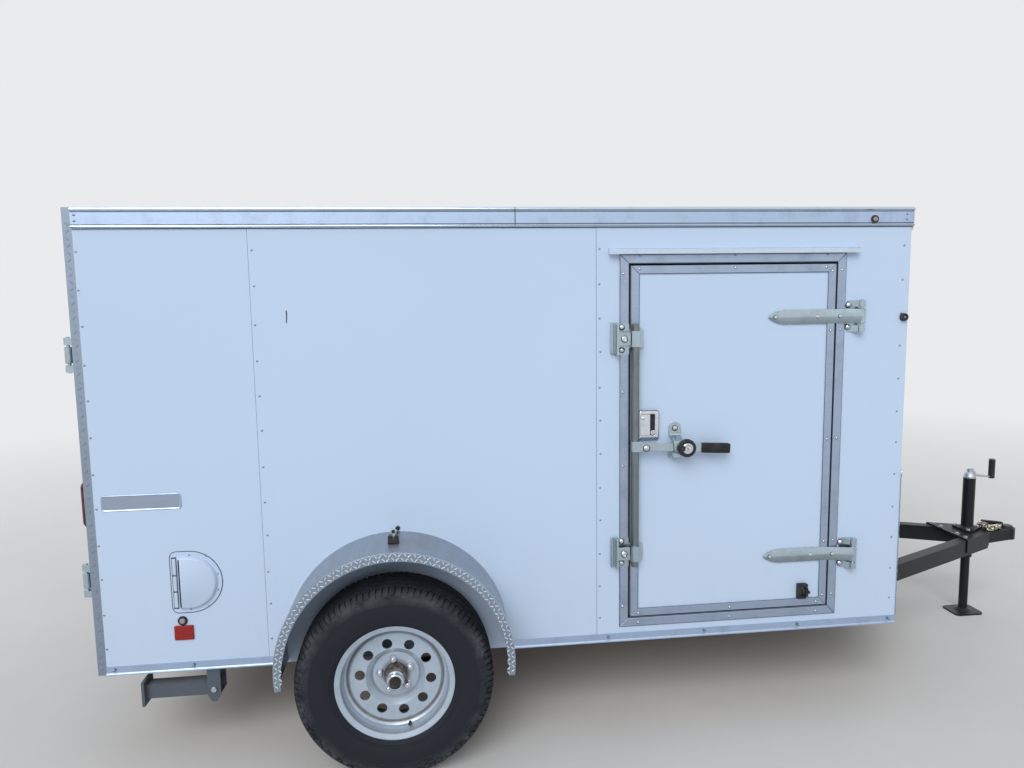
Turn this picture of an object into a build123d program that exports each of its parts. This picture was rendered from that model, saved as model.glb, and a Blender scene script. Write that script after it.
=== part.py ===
"""Enclosed single-axle cargo trailer with a V nose, parked on its tongue jack.

Millimetres. +X points to the tongue, +Y to the left side, +Z up, ground at z = 0.
A length runs forward from the rear edge of the side panels, and at() gives its x.
"""
import os
from math import cos, radians, sqrt, tan

from build123d import *

os.makedirs("parts", exist_ok=True)

# body box
REAR_X = -2054.9          # x of the side panels' rear edge
HALF_WIDTH = 762.0
BODY_LENGTH = 3003.0
NOSE_LENGTH = 500.0
WALL_THICK = 38.0
SKIRT_THICK = 3.0         # the outer skin, carried down over the frame
SKIRT_BOTTOM = 345.0
FRAME_BOTTOM = 355.0
FRAME_HEIGHT = 76.0
FLOOR_THICK = 19.0
WALL_TOP = 1945.0
ROOF_THICK = 30.0
ROOF_CROWN = 25.0
ROOF_FLAT_EDGE = 32.0
ROOF_FALL = 400.0         # length over which the crown falls to the nose
SHEET_WIDTH = 1219.0
FRONT_SHEET = 1220.0

# frame tubes
TUBE_WIDTH = 51.0
RAIL_GAP = 0.3
RAIL_SETBACK = 0.5
CROSS_SPACING = 400.0
NOSE_HEADER = 220.0

# tongue and coupler
TONGUE_ANGLE = 25.0
BALL_AHEAD = 637.0        # nose tip to the ball
BALL_TO_RAILS = 150.0
BALL_TO_JACK = 225.0
TONGUE_END_GAP = 4.9      # tongue rail's rear corner to the side rail
JACK_HALF_GAP = 38.0      # centreline to a rail's inner face, at the jack
TONGUE_SLOT = 1.0         # free all round where a rail passes a skin
COUPLER_PLATE = 8.0
COUPLER_LENGTH = 190.0
COUPLER_SIDE = 6.0
COUPLER_DROP = 60.0
NECK_HALF = 34.0
SOCKET_RADIUS = 25.8
SOCKET_MOUTH = 384.0
SOCKET_STRAIGHT = 28.0
HOUSING_WALL = 12.0
DOME_TOP_RADIUS = 24.0
DOME_SINK = 4.0
DOME_HEIGHT = 16.0
LATCH_HALF = 9.0

# jack
JACK_TUBE_RADIUS = 28.5
JACK_TUBE_WALL = 3.2
JACK_TUBE_TOP = 713.0
JACK_TUBE_BOTTOM = 300.0
JACK_COLLAR = 20.0
JACK_FLANGE_REACH = 88.0
JACK_FLANGE_ROUND = 18.0
JACK_FLANGE_THICK = 12.0
JACK_WELD = 11.0
JACK_PLATE_FREE = 1.0
JACK_LEG_RADIUS = 21.0
JACK_LEG_TOP = 415.0
JACK_LEG_FREE = 0.05
FOOT_LENGTH = 150.0
FOOT_WIDTH = 120.0
FOOT_THICK = 8.0
FOOT_NECK = 16.0
CRANK_GRIP_RADIUS = 14.0
CRANK_GRIP_LENGTH = 97.0
CRANK_REACH = 121.0
CRANK_ROD = 5.0

# axle and springs
AXLE_L = 1025.0
AXLE_DROP = 102.0
AXLE_RADIUS = 30.0
UPRIGHT_OUT = 2.0         # upright's inner face beyond the body side
UPRIGHT_THICK = 28.0
SPINDLE_RADIUS = 16.0
SPINDLE_BACK = 10.0
SPRING_INSET = 29.0
SPRING_WIDTH = 44.0
SPRING_HALF_LENGTH = 320.0
SPRING_SAG = 40.0
LEAF_THICK = 7.0
LEAF_SHARES = (1.0, 0.78, 0.56, 0.34)
HANGER_HALF = 25.0
HANGER_PAST = 2.0

# wheels
TYRE_RADIUS = 344.0
TYRE_WIDTH = 205.0
WHEEL_CLEAR = 25.5        # body side to the tyre
BEAD_RADIUS = 191.0
RIM_HALF = 76.0           # wheel plane to the inside of a rim flange
FLANGE_RISE = 17.0
FLANGE_THICK = 6.0
FLANGE_LEAN = 2.0
RIM_STEP = 4.0            # unit of the pressed rim's small steps
RIM_WALL = 5.0
WELL_DEPTH = 19.0
WELL_REAR = -40.0
WELL_FRONT = -14.0
HUMP_Y = 44.0
DISC_Y = 33.0             # disc's outer face, out from the wheel plane
DISC_EDGE = 160.0
NAVE_Y = 8.0
NAVE_RADIUS = 84.0
BORE_RADIUS = 41.5
HAND_HOLES = 10
HAND_HOLE_RADIUS = 18.0
HAND_HOLE_CIRCLE = 124.0
HAND_HOLE_TURN = 6.0
HAND_HOLE_MARGIN = 2.0
NUTS = 5
NUT_CIRCLE = 57.15
NUT_RADIUS = 11.5
NUT_HEIGHT = 18.0
NUT_TAPER = 6.0
NUT_TURN = 10.0
HUB_RADIUS = 40.0
HUB_BACK = 84.0
HUB_FLANGE_THICK = 12.0
HUB_BARREL_Y = 44.0
HUB_CHAMFER = 4.0
HUB_FLANGE_RADIUS = 72.0
CAP_RADIUS = 31.5
CAP_PLUG_RADIUS = 20.0
CAP_PROUD = 4.0           # beyond the rim flange
CAP_STEP = 2.0
HUB_FREE = 0.3

TYRE_SEAT_FREE = 0.3
TYRE_OVER_FLANGE = 1.5
TYRE_WALL_RISE = 17.5     # flange to the flat of the tyre's wall

# tyre shoulder: in from the wall, down from the tread
TYRE_SHOULDER = ((0.0, 17.0), (30.0, 0.0))

# fenders
FENDER_AHEAD = 6.0
FENDER_FREE = 62.0        # tyre to fender, measured on the radius
FENDER_RISE = 67.0
FENDER_FOOT_Z = 358.0
FENDER_OVERHANG = 7.5
FENDER_THICK = 3.0
FENDER_LIP = 4.0
LIP_DROP = 19.4
LIP_SHRINK = 2.6
FOOT_PLATE = 17.0         # tread plate piece behind a fender's rear foot
FOOT_PLATE_TOP = 430.0

# side door, on the right wall
DOOR_AHEAD = 129.0        # seam to the door's rear edge
DOOR_WIDTH = 792.0
DOOR_BOTTOM = 437.0
DOOR_TOP = 1769.0
DOOR_REAR_GAP = 8.0
DOOR_GAP = 6.0
DOOR_FACE = 4.0           # door and frame faces beyond the wall
DOOR_THICK = 36.0
DOOR_TRIM = 30.0
DOOR_RECESS = 3.0
FRAME_DROP = 34.0
FRAME_LAP = 20.0
JAMB = 14.0
DRIP_LAP = 42.0
DRIP_OUT = 24.0
DRIP_HEIGHT = 22.0
DRIP_RISE = 4.0
DRIP_WALL = 3.5
HOLDBACK_AHEAD = 95.0     # holdback's middle, behind the door's front edge
HOLDBACK_Z = 499.0

# hinges, side and rear
PIN_AHEAD = 97.0          # side door's front edge to its pins
PIN_OUT = 22.0
PIN_RADIUS = 6.0
PIN_FREE = 0.05
EYE_RADIUS = 13.0
OVERLAP = 1.0             # how far a piece or a cut runs into what it meets
BUTT_REACH = 48.0
BUTT_HALF = 59.0
BUTT_EAR = 24.0
BUTT_THICK = 4.0
STRAP_HALF = 29.0
STRAP_THICK = 5.0
STRAP_BEVEL = 40.0
STRAP_LENGTH = 246.0
STRAP_END = 12.0
LEAF_LAP = 8.0
STRAP_HEIGHTS = (1572.0, 645.0)

# strap outline: distance from its tip, half height
STRAP_SHAPE = ((0.0, 8.0), (30.0, 22.0), (62.0, 29.0))

# bar locks, side and rear
BAR_AHEAD = 19.0
BAR_RADIUS = 14.0
BAR_OUT = 20.0
COLLAR_RADIUS = 17.0
COLLAR_HALF = 50.0
TAB_HALF = 27.0
TAB_REACH = 62.0
KEEPER_HEIGHTS = (1501.0, 695.0)
KEEPER_HALF = 56.0
KEEPER_WIDTH = 46.0
KEEPER_THICK = 4.0
KEEPER_FLANGE = 34.0
KEEPER_BEHIND = 8.0
LEVER_Z = 1088.0
LEVER_HALF = 18.0
LEVER_THICK = 8.0
LEVER_LENGTH = 265.0
GRIP_LENGTH = 111.0
GRIP_LAP = 6.0
GRIP_HALF = 21.0
GRIP_THICK = 22.0

# hasp, padlock and flush latch
HASP_AHEAD = 168.0
HASP_HALF = 28.0
HASP_TOP = 91.0           # above the lever
HASP_THICK = 5.0
PADLOCK_AHEAD = 46.0      # padlock's middle from the hasp's
PADLOCK_RADIUS = 36.0
PADLOCK_THICK = 26.0
PADLOCK_ROUND = 5.0
LATCH_AHEAD = 69.0
LATCH_WIDTH = 70.0
LATCH_TALL = 106.0
LATCH_ABOVE = 91.0
LATCH_ROUND = 12.0
LATCH_THICK = 9.0

# rear frame and doors
REAR_FRAME_DEPTH = 30.0
REAR_FRAME_BOTTOM = 340.0
REAR_POST = 60.0
REAR_SILL_TOP = 455.0
REAR_HEADER_BOTTOM = 1880.0
REAR_GAP = 6.0
REAR_MEETING_GAP = 12.0
REAR_DOOR_THICK = 35.0
REAR_PIN_INSET = 24.0
REAR_STRAP_HEIGHTS = (1485.0, 686.0)
REAR_BAR_Y = 90.0
REAR_BAR_OUT = 24.0
REAR_BAR_PAST = 30.0
REAR_GUIDES = (700.0, 1120.0, 1600.0)
REAR_KEEPER_HALF = 28.0
REAR_KEEPER_TALL = 44.0
REAR_LEVER_LENGTH = 300.0

# edge trim
TRIM_BOTTOM = 1908.0
TRIM_PROUD = 6.0
TRIM_LID = 3.0
TRIM_LAP = 25.0
SILL_TRIM_TOP = 372.0
SILL_TRIM_BOTTOM = 340.0
SILL_TRIM_PROUD = 3.0
SILL_TRIM_FOOT = 7.0
SILL_TRIM_STEP = 4.0
SILL_TRIM_FREE = 5.0

# stone guard
GUARD_TOP = 948.0
GUARD_THICK = 3.0

# lamps: name, length, z, radius, how far out of the wall it starts
LAMP_THICK = 14.0
LAMP_TAPER = 15.0
MARKER_BACK = 155.0       # body's front edge to the front marker
MARKER_RISE = 25.0
LAMPS = (("front top", BODY_LENGTH - MARKER_BACK, TRIM_BOTTOM + MARKER_RISE, 13.5, TRIM_PROUD),
         ("rear low", 270.0, 527.0, 16.0, 0.0))
TAIL_Z = 960.0
TAIL_TALL = 165.0
TAIL_WIDE = 46.0
TAIL_THICK = 16.0
REFLECTOR_L = 240.0
REFLECTOR_WIDE = 66.0
REFLECTOR_BOTTOM = 456.0
REFLECTOR_TOP = 509.0
REFLECTOR_THICK = 7.0

# side vents
VENT_L = 240.0
VENT_LENGTH = 174.0
VENT_BOTTOM = 557.0
VENT_TOP = 780.0
VENT_OUT = 18.0
VENT_SLOPE = 38.0
VENT_WALL = 2.0
VENT_STRAIGHT = 0.48      # share of its length before the round end

# stabiliser legs
STAB_PIVOT_L = 362.0
STAB_PIVOT_Z = 258.0
STAB_INSET = 42.0
STAB_HALF = 25.0
STAB_WALL = 3.0
STAB_LENGTH = 240.0
STAB_TAIL = 20.0
STAB_FOOT_HALF = 45.0
STAB_FOOT_THICK = 10.0
STAB_PIN_RADIUS = 8.0
STAB_CHEEK = 6.0
STAB_CHEEK_GAP = 7.0
STAB_CHEEK_HALF = 23.0
STAB_CHEEK_BELOW = 46.0

SIDES = (("right", -1), ("left", 1))
UPRIGHT = (Align.CENTER, Align.CENTER, Align.MIN)
FRAME_TOP = FRAME_BOTTOM + FRAME_HEIGHT
ROOF_TOP = WALL_TOP + ROOF_THICK


def at(length):
    """x of a place measured forward from the side panels' rear edge."""
    return REAR_X + length


def block(x0, x1, y0, y1, z0, z1, mode=Mode.ADD):
    """A box between two corners."""
    with Locations(((x0 + x1) / 2, (y0 + y1) / 2, (z0 + z1) / 2)):
        Box(abs(x1 - x0), abs(y1 - y0), abs(z1 - z0), mode=mode)


def drum(x, y, z, radius, height, mode=Mode.ADD):
    """An upright cylinder that stands at z."""
    with Locations((x, y, z)):
        Cylinder(radius, height, align=UPRIGHT, mode=mode)


def slab(points, z0, z1, mode=Mode.ADD):
    """A plan outline of (length, y) points, raised from z0 to z1."""
    with BuildSketch(Plane.XY.offset(z0)) as outline:
        with BuildLine():
            Polyline([(at(length), y) for length, y in points], close=True)
        make_face()
    extrude(outline.sketch, amount=z1 - z0, mode=mode)


def side_plate(points, y, thick, mode=Mode.ADD):
    """An outline of (x, z) points that starts at y and is thick towards +y, or -y where thick is negative."""
    with BuildSketch(Plane.XZ.offset(-y)) as outline:
        with BuildLine():
            Polyline(points, close=True)
        make_face()
    extrude(outline.sketch, amount=-thick, mode=mode)


def side_disc(x, y, z, radius, thick, mode=Mode.ADD):
    """A cylinder that lies along y, from y towards y + thick."""
    with BuildSketch(Plane.XZ.offset(-y)) as outline:
        with Locations((x, z)):
            Circle(radius)
    extrude(outline.sketch, amount=-thick, mode=mode)


def moulding(points, x0, x1, mode=Mode.ADD):
    """A section of (y, z) points, run from x0 to x1."""
    with BuildSketch(Plane.YZ.offset(x0)) as outline:
        with BuildLine():
            Polyline(points, close=True)
        make_face()
    extrude(outline.sketch, amount=x1 - x0, mode=mode)


def crowned(x0, x1, low, lift, mode=Mode.ADD):
    """The roof's arched section from z low up, lifted by lift and run from x0 to x1."""
    edge = HALF_WIDTH - ROOF_FLAT_EDGE
    top = ROOF_TOP + lift
    with BuildSketch(Plane.YZ.offset(x0)) as outline:
        with BuildLine():
            Polyline((edge, top), (HALF_WIDTH, top), (HALF_WIDTH, low), (-HALF_WIDTH, low), (-HALF_WIDTH, top),
                     (-edge, top))
            ThreePointArc((-edge, top), (0, top + ROOF_CROWN), (edge, top))
        make_face()
    extrude(outline.sketch, amount=x1 - x0, mode=mode)


def save(part, label):
    """Name a finished part and write its file."""
    part.label = label
    export_step(part, "parts/" + label + ".step")


def body_outline(margin, rear):
    """Plan points of the box and nose grown by a margin, from the rear right corner to the rear left."""
    slope = sqrt(NOSE_LENGTH ** 2 + HALF_WIDTH ** 2)
    apex = BODY_LENGTH + NOSE_LENGTH + margin * slope / HALF_WIDTH
    half = HALF_WIDTH + margin
    shoulder = apex - half * NOSE_LENGTH / HALF_WIDTH
    return [(rear, -half), (shoulder, -half), (apex, 0), (shoulder, half), (rear, half)]


apex_l = BODY_LENGTH + NOSE_LENGTH
ball_l = apex_l + BALL_AHEAD
jack_l = ball_l - BALL_TO_JACK
tongue_front = ball_l - BALL_TO_RAILS
rail_across = TUBE_WIDTH / cos(radians(TONGUE_ANGLE))
rail_out = HALF_WIDTH - SKIRT_THICK - RAIL_GAP
rail_in = rail_out - TUBE_WIDTH
tongue_spread = rail_in - TONGUE_END_GAP - rail_across - JACK_HALF_GAP
tongue_rear = jack_l - tongue_spread / tan(radians(TONGUE_ANGLE))


def tongue_inner(length):
    """Distance from the centreline to a tongue rail's inner face."""
    return JACK_HALF_GAP + tan(radians(TONGUE_ANGLE)) * (jack_l - length)


def tongue_outer(length):
    """Distance from the centreline to a tongue rail's outer face."""
    return tongue_inner(length) + rail_across


def tongue_outline(side, grow=0.0):
    """Plan points of one tongue rail, grown sideways."""
    ends = (tongue_rear, tongue_front)
    inner = [(end, side * (tongue_inner(end) - grow)) for end in ends]
    outer = [(end, side * (tongue_outer(end) + grow)) for end in reversed(ends)]
    return inner + outer


# welded frame: a rail a side that turns in along the nose, broken where the tongue rail passes
with BuildPart() as frame_rails:
    slab(body_outline(rail_out - HALF_WIDTH, RAIL_SETBACK), FRAME_BOTTOM, FRAME_TOP)
    slab(body_outline(rail_in - HALF_WIDTH, -RAIL_SETBACK), FRAME_BOTTOM, FRAME_TOP, Mode.SUBTRACT)
    for _, side in SIDES:
        slab(tongue_outline(side), FRAME_BOTTOM, FRAME_TOP, Mode.SUBTRACT)
save(frame_rails.part, "frame_rails")

# cross tubes between the rails, from the rear sill to the nose
half_tube = TUBE_WIDTH / 2
cross_count = int((BODY_LENGTH - 2 * TUBE_WIDTH) / CROSS_SPACING) + 1
cross_places = [RAIL_SETBACK + half_tube + CROSS_SPACING * step for step in range(cross_count)]
cross_places += [BODY_LENGTH - half_tube, BODY_LENGTH + NOSE_HEADER]
with BuildPart() as crossmembers:
    for place in cross_places:
        block(at(place - half_tube), at(place + half_tube), -rail_in, rail_in, FRAME_BOTTOM, FRAME_TOP)
    slab(body_outline(rail_in - HALF_WIDTH, 0.0), FRAME_BOTTOM, FRAME_TOP, Mode.INTERSECT)
    for _, side in SIDES:
        slab(tongue_outline(side), FRAME_BOTTOM, FRAME_TOP, Mode.SUBTRACT)
save(crossmembers.part, "crossmembers")

# tongue rails
with BuildPart() as tongue_rails:
    for _, side in SIDES:
        slab(tongue_outline(side), FRAME_BOTTOM, FRAME_TOP)
save(tongue_rails.part, "tongue_rails")

# coupler: plate over the rails, side flanges, ball housing and the latch lying over it
plate_rear = tongue_front - COUPLER_LENGTH
plate_top = FRAME_TOP + COUPLER_PLATE
housing = SOCKET_RADIUS + HOUSING_WALL
neck_root = tongue_outer(tongue_front) + COUPLER_SIDE
plate_edge = [(plate_rear, tongue_outer(plate_rear) + COUPLER_SIDE), (tongue_front, neck_root), (ball_l, NECK_HALF)]
# latch lever: ahead of the ball, above the plate
LATCH_PROFILE = ((-144, 40), (-138, 47), (-72, 38), (-30, 31), (-30, 15), (-42, 13), (-46, -1), (-68, -1),
                 (-74, 16), (-96, 28))
with BuildPart() as coupler:
    slab(plate_edge + [(length, -y) for length, y in reversed(plate_edge)], FRAME_TOP, plate_top)
    for _, side in SIDES:
        flange = [(length, side * tongue_outer(length)) for length in (plate_rear, tongue_front)]
        outer = [(length, y + side * COUPLER_SIDE) for length, y in reversed(flange)]
        slab(flange + outer, FRAME_TOP - COUPLER_DROP, FRAME_TOP)
        slab([(tongue_front, side * neck_root), (tongue_front, side * (neck_root - COUPLER_PLATE)),
              (ball_l, side * (NECK_HALF - COUPLER_PLATE)), (ball_l, side * NECK_HALF)], SOCKET_MOUTH, FRAME_TOP)
    drum(at(ball_l), 0, SOCKET_MOUTH, housing, plate_top - SOCKET_MOUTH)
    with Locations((at(ball_l), 0, plate_top - DOME_SINK)):
        Cone(housing, DOME_TOP_RADIUS, DOME_HEIGHT, align=UPRIGHT)
    side_plate([(at(ball_l + ahead), plate_top + up) for ahead, up in LATCH_PROFILE], -LATCH_HALF, 2 * LATCH_HALF)
    drum(at(ball_l), 0, SOCKET_MOUTH, SOCKET_RADIUS, SOCKET_STRAIGHT, Mode.SUBTRACT)
    with Locations((at(ball_l), 0, SOCKET_MOUTH + SOCKET_STRAIGHT)):
        Sphere(SOCKET_RADIUS, mode=Mode.SUBTRACT)
    drum(at(jack_l), 0, FRAME_TOP - OVERLAP, JACK_TUBE_RADIUS + JACK_PLATE_FREE, COUPLER_PLATE + 2 * OVERLAP,
         Mode.SUBTRACT)
save(coupler.part, "coupler")

# jack: outer tube with its guide collar, three-cornered flange and weld, and the closed top
with BuildPart() as jack_tube:
    drum(at(jack_l), 0, JACK_TUBE_BOTTOM, JACK_TUBE_RADIUS, JACK_TUBE_TOP - JACK_TUBE_BOTTOM)
    with BuildSketch(Plane.XY.offset(plate_top)) as flange_plan:
        with Locations((at(jack_l), 0)):
            RegularPolygon(JACK_FLANGE_REACH, 3)
        fillet(flange_plan.vertices(), JACK_FLANGE_ROUND)
    extrude(amount=JACK_FLANGE_THICK)
    with Locations((at(jack_l), 0, plate_top + JACK_FLANGE_THICK)):
        Cone(JACK_TUBE_RADIUS + JACK_WELD, JACK_TUBE_RADIUS, JACK_WELD, align=UPRIGHT)
    drum(at(jack_l), 0, JACK_TUBE_BOTTOM + JACK_COLLAR, JACK_TUBE_RADIUS - JACK_TUBE_WALL,
         JACK_TUBE_TOP - JACK_TUBE_WALL - JACK_TUBE_BOTTOM - JACK_COLLAR, Mode.SUBTRACT)
    drum(at(jack_l), 0, JACK_TUBE_BOTTOM, JACK_LEG_RADIUS + JACK_LEG_FREE, JACK_COLLAR, Mode.SUBTRACT)
save(jack_tube.part, "jack_tube")

# jack crank: gear cap, arm, rod and upright grip
# gear cap: radius, above the tube
CAP_PROFILE = ((0, 0.3), (27, 0.3), (27, 8), (22, 24), (13, 32), (13, 46), (0, 46))
# crank arm: out from the tube, above it
ARM_PROFILE = ((4, 46), (14, 48), (34, 18), (CRANK_REACH, 4), (CRANK_REACH, -4), (28, 6), (4, 30))
with BuildPart() as jack_crank:
    with BuildSketch(Plane.XZ):
        with BuildLine():
            Polyline([(at(jack_l) + out, JACK_TUBE_TOP + up) for out, up in CAP_PROFILE], close=True)
        make_face()
    revolve(axis=Axis((at(jack_l), 0, 0), (0, 0, 1)))
    side_plate([(at(jack_l) + out, JACK_TUBE_TOP + up) for out, up in ARM_PROFILE], -CRANK_ROD, 2 * CRANK_ROD)
    drum(at(jack_l + CRANK_REACH), 0, JACK_TUBE_TOP - CRANK_ROD, CRANK_GRIP_RADIUS, CRANK_GRIP_LENGTH)
save(jack_crank.part, "jack_crank")

# jack leg: inner tube and dished foot, standing on the ground
with BuildPart() as jack_leg:
    with BuildSketch(Plane.XY):
        with Locations((at(jack_l), 0)):
            RectangleRounded(FOOT_LENGTH, FOOT_WIDTH, JACK_LEG_RADIUS)
    extrude(amount=FOOT_THICK)
    with Locations((at(jack_l), 0, FOOT_THICK)):
        Cone(2 * JACK_LEG_RADIUS, JACK_LEG_RADIUS, FOOT_NECK, align=UPRIGHT)
    drum(at(jack_l), 0, FOOT_THICK, JACK_LEG_RADIUS, JACK_LEG_TOP - FOOT_THICK)
save(jack_leg.part, "jack_leg")

# axle: beam dropped below the springs, uprights and spindles
beam_z = TYRE_RADIUS - AXLE_DROP
upright_in = HALF_WIDTH + UPRIGHT_OUT
wheel_plane_y = HALF_WIDTH + WHEEL_CLEAR + TYRE_WIDTH / 2
spindle_end = wheel_plane_y - SPINDLE_BACK
with BuildPart() as axle_beam:
    side_disc(at(AXLE_L), -upright_in - OVERLAP, beam_z, AXLE_RADIUS, 2 * (upright_in + OVERLAP))
    for _, side in SIDES:
        with BuildSketch(Plane.XZ.offset(-side * upright_in)):
            with Locations((at(AXLE_L), (beam_z + TYRE_RADIUS) / 2)):
                SlotCenterToCenter(AXLE_DROP, 2 * AXLE_RADIUS, rotation=90)
        extrude(amount=-side * UPRIGHT_THICK)
        side_disc(at(AXLE_L), side * upright_in, TYRE_RADIUS, SPINDLE_RADIUS, side * (spindle_end - upright_in))
save(axle_beam.part, "axle_beam")

# leaf springs with their hangers, one pack a side, standing on the beam
spring_y = HALF_WIDTH - SPRING_INSET
spring_low = beam_z + AXLE_RADIUS
with BuildPart() as leaf_springs:
    arc = (SPRING_HALF_LENGTH ** 2 + SPRING_SAG ** 2) / (2 * SPRING_SAG)
    for _, side in SIDES:
        for order, share in enumerate(LEAF_SHARES):
            half = share * SPRING_HALF_LENGTH
            rise = arc - sqrt(arc ** 2 - half ** 2)
            low = spring_low + LEAF_THICK * (len(LEAF_SHARES) - 1 - order)
            ends = (at(AXLE_L) - half, at(AXLE_L) + half)
            with BuildSketch(Plane.XZ.offset(-side * (spring_y - SPRING_WIDTH / 2))):
                with BuildLine():
                    for z in (low, low + LEAF_THICK):
                        ThreePointArc((ends[0], z + rise), (at(AXLE_L), z), (ends[1], z + rise))
                    for end in ends:
                        Line((end, low + rise), (end, low + LEAF_THICK + rise))
                make_face()
            extrude(amount=-side * SPRING_WIDTH)
        eye_z = spring_low + LEAF_THICK * len(LEAF_SHARES) + SPRING_SAG - LEAF_THICK
        for end in (-1, 1):
            x = at(AXLE_L) + end * SPRING_HALF_LENGTH
            side_plate([(x - HANGER_HALF, FRAME_BOTTOM), (x + HANGER_HALF, FRAME_BOTTOM), (x + HANGER_HALF / 2, eye_z),
                        (x - HANGER_HALF / 2, eye_z)], side * spring_y - SPRING_WIDTH / 2 - HANGER_PAST,
                       SPRING_WIDTH + 2 * HANGER_PAST)
save(leaf_springs.part, "leaf_springs")

# floor deck inside the walls
with BuildPart() as floor_deck:
    slab(body_outline(-WALL_THICK, 6.0), FRAME_TOP, FRAME_TOP + FLOOR_THICK)
save(floor_deck.part, "floor_deck")

# door rectangle, the free space round it and the hole in the wall
seams = (BODY_LENGTH - FRONT_SHEET - SHEET_WIDTH, BODY_LENGTH - FRONT_SHEET)
door_rear = seams[1] + DOOR_AHEAD
door_front = door_rear + DOOR_WIDTH
hole_rear = door_rear - DOOR_REAR_GAP - JAMB
hole_front = door_front + DOOR_GAP + JAMB
hole_top = DOOR_TOP + DOOR_GAP + JAMB

# side walls in three panels a side, with the doorway on the right
SPANS = (("rear", 0.0, seams[0]), ("middle", seams[0], seams[1]), ("front", seams[1], BODY_LENGTH))
for name, side in SIDES:
    for span, start, end in SPANS:
        with BuildPart() as wall:
            outer = side * HALF_WIDTH
            block(at(start), at(end), outer, outer - side * WALL_THICK, FRAME_TOP, WALL_TOP)
            block(at(start), at(end), outer, outer - side * SKIRT_THICK, SKIRT_BOTTOM, FRAME_TOP)
            if side < 0 and hole_rear < end and hole_front > start:
                block(at(hole_rear), at(hole_front), outer - OVERLAP, outer + WALL_THICK + OVERLAP, FRAME_TOP, hole_top,
                      Mode.SUBTRACT)
        save(wall.part, "wall_" + name + "_" + span)

# nose walls, their lower skin slotted for the tongue rails
nose_run = sqrt(NOSE_LENGTH ** 2 + HALF_WIDTH ** 2)
for name, side in SIDES:
    with BuildPart() as nose_wall:
        for thick, z0, z1 in ((WALL_THICK, FRAME_TOP, WALL_TOP), (SKIRT_THICK, SKIRT_BOTTOM, FRAME_TOP)):
            inner = thick * nose_run / HALF_WIDTH
            shoulder_y = HALF_WIDTH - inner * HALF_WIDTH / NOSE_LENGTH
            slab([(BODY_LENGTH, side * HALF_WIDTH), (apex_l, 0), (apex_l - inner, 0),
                  (BODY_LENGTH, side * shoulder_y)], z0, z1)
        slab(tongue_outline(side, TONGUE_SLOT), SKIRT_BOTTOM - OVERLAP, FRAME_TOP, Mode.SUBTRACT)
    save(nose_wall.part, "nose_wall_" + name)

# roof, crowned across the box, with the crown falling to the nose
crown_top = ROOF_TOP + ROOF_CROWN
with BuildPart() as roof:
    slab(body_outline(0, 0.0), WALL_TOP, crown_top)
    crowned(at(0), at(apex_l + OVERLAP), WALL_TOP, 0.0, Mode.INTERSECT)
    side_plate([(at(0), WALL_TOP), (at(0), crown_top), (at(BODY_LENGTH - ROOF_FALL), crown_top),
                (at(BODY_LENGTH - ROOF_FLAT_EDGE), ROOF_TOP), (at(apex_l), ROOF_TOP), (at(apex_l), WALL_TOP)],
               -HALF_WIDTH, 2 * HALF_WIDTH, Mode.INTERSECT)
save(roof.part, "roof")

# edge trim: moulding round the roof's edge, and a bottom moulding a side, broken at the wheels
fender_l = AXLE_L + FENDER_AHEAD
fender_z = TYRE_RADIUS + FENDER_RISE
fender_radius = TYRE_RADIUS + FENDER_FREE
fender_foot = sqrt(fender_radius ** 2 - (fender_z - FENDER_FOOT_Z) ** 2)
sill_runs = ((0.0, fender_l - fender_foot - FOOT_PLATE - SILL_TRIM_FREE),
             (fender_l + fender_foot + SILL_TRIM_FREE, BODY_LENGTH))
with BuildPart() as edge_trim:
    slab(body_outline(TRIM_PROUD, 0.0), TRIM_BOTTOM, ROOF_TOP + TRIM_LID)
    slab(body_outline(0, -1.0), TRIM_BOTTOM, ROOF_TOP, Mode.SUBTRACT)
    slab(body_outline(-TRIM_LAP, -1.0), ROOF_TOP, ROOF_TOP + TRIM_LID, Mode.SUBTRACT)
    foot_out = HALF_WIDTH + SILL_TRIM_FOOT
    foot_top = SILL_TRIM_BOTTOM + SILL_TRIM_STEP
    for _, side in SIDES:
        section = [(HALF_WIDTH, SILL_TRIM_TOP), (HALF_WIDTH + SILL_TRIM_PROUD, SILL_TRIM_TOP),
                   (HALF_WIDTH + SILL_TRIM_PROUD, foot_top + SILL_TRIM_STEP), (foot_out, foot_top),
                   (foot_out, SILL_TRIM_BOTTOM), (HALF_WIDTH - SKIRT_THICK, SILL_TRIM_BOTTOM),
                   (HALF_WIDTH - SKIRT_THICK, foot_top), (HALF_WIDTH, foot_top)]
        for start, end in sill_runs:
            moulding([(side * y, z) for y, z in section], at(start), at(end))
save(edge_trim.part, "edge_trim")

# tread plate stone guard on the nose
with BuildPart() as stone_guard:
    slab(body_outline(GUARD_THICK, BODY_LENGTH), SKIRT_BOTTOM, GUARD_TOP)
    slab(body_outline(0, 0.0), SKIRT_BOTTOM, GUARD_TOP, Mode.SUBTRACT)
    for _, side in SIDES:
        slab(tongue_outline(side, TONGUE_SLOT), SKIRT_BOTTOM, FRAME_TOP + OVERLAP, Mode.SUBTRACT)
save(stone_guard.part, "stone_guard")

# rear frame round the two rear doors, its header crowned with the roof
with BuildPart() as rear_frame:
    crowned(at(-REAR_FRAME_DEPTH), at(0), REAR_FRAME_BOTTOM, TRIM_LID)
    block(at(-REAR_FRAME_DEPTH), at(0), -HALF_WIDTH + REAR_POST, HALF_WIDTH - REAR_POST,
          REAR_SILL_TOP, REAR_HEADER_BOTTOM, Mode.SUBTRACT)
save(rear_frame.part, "rear_frame")

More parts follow.
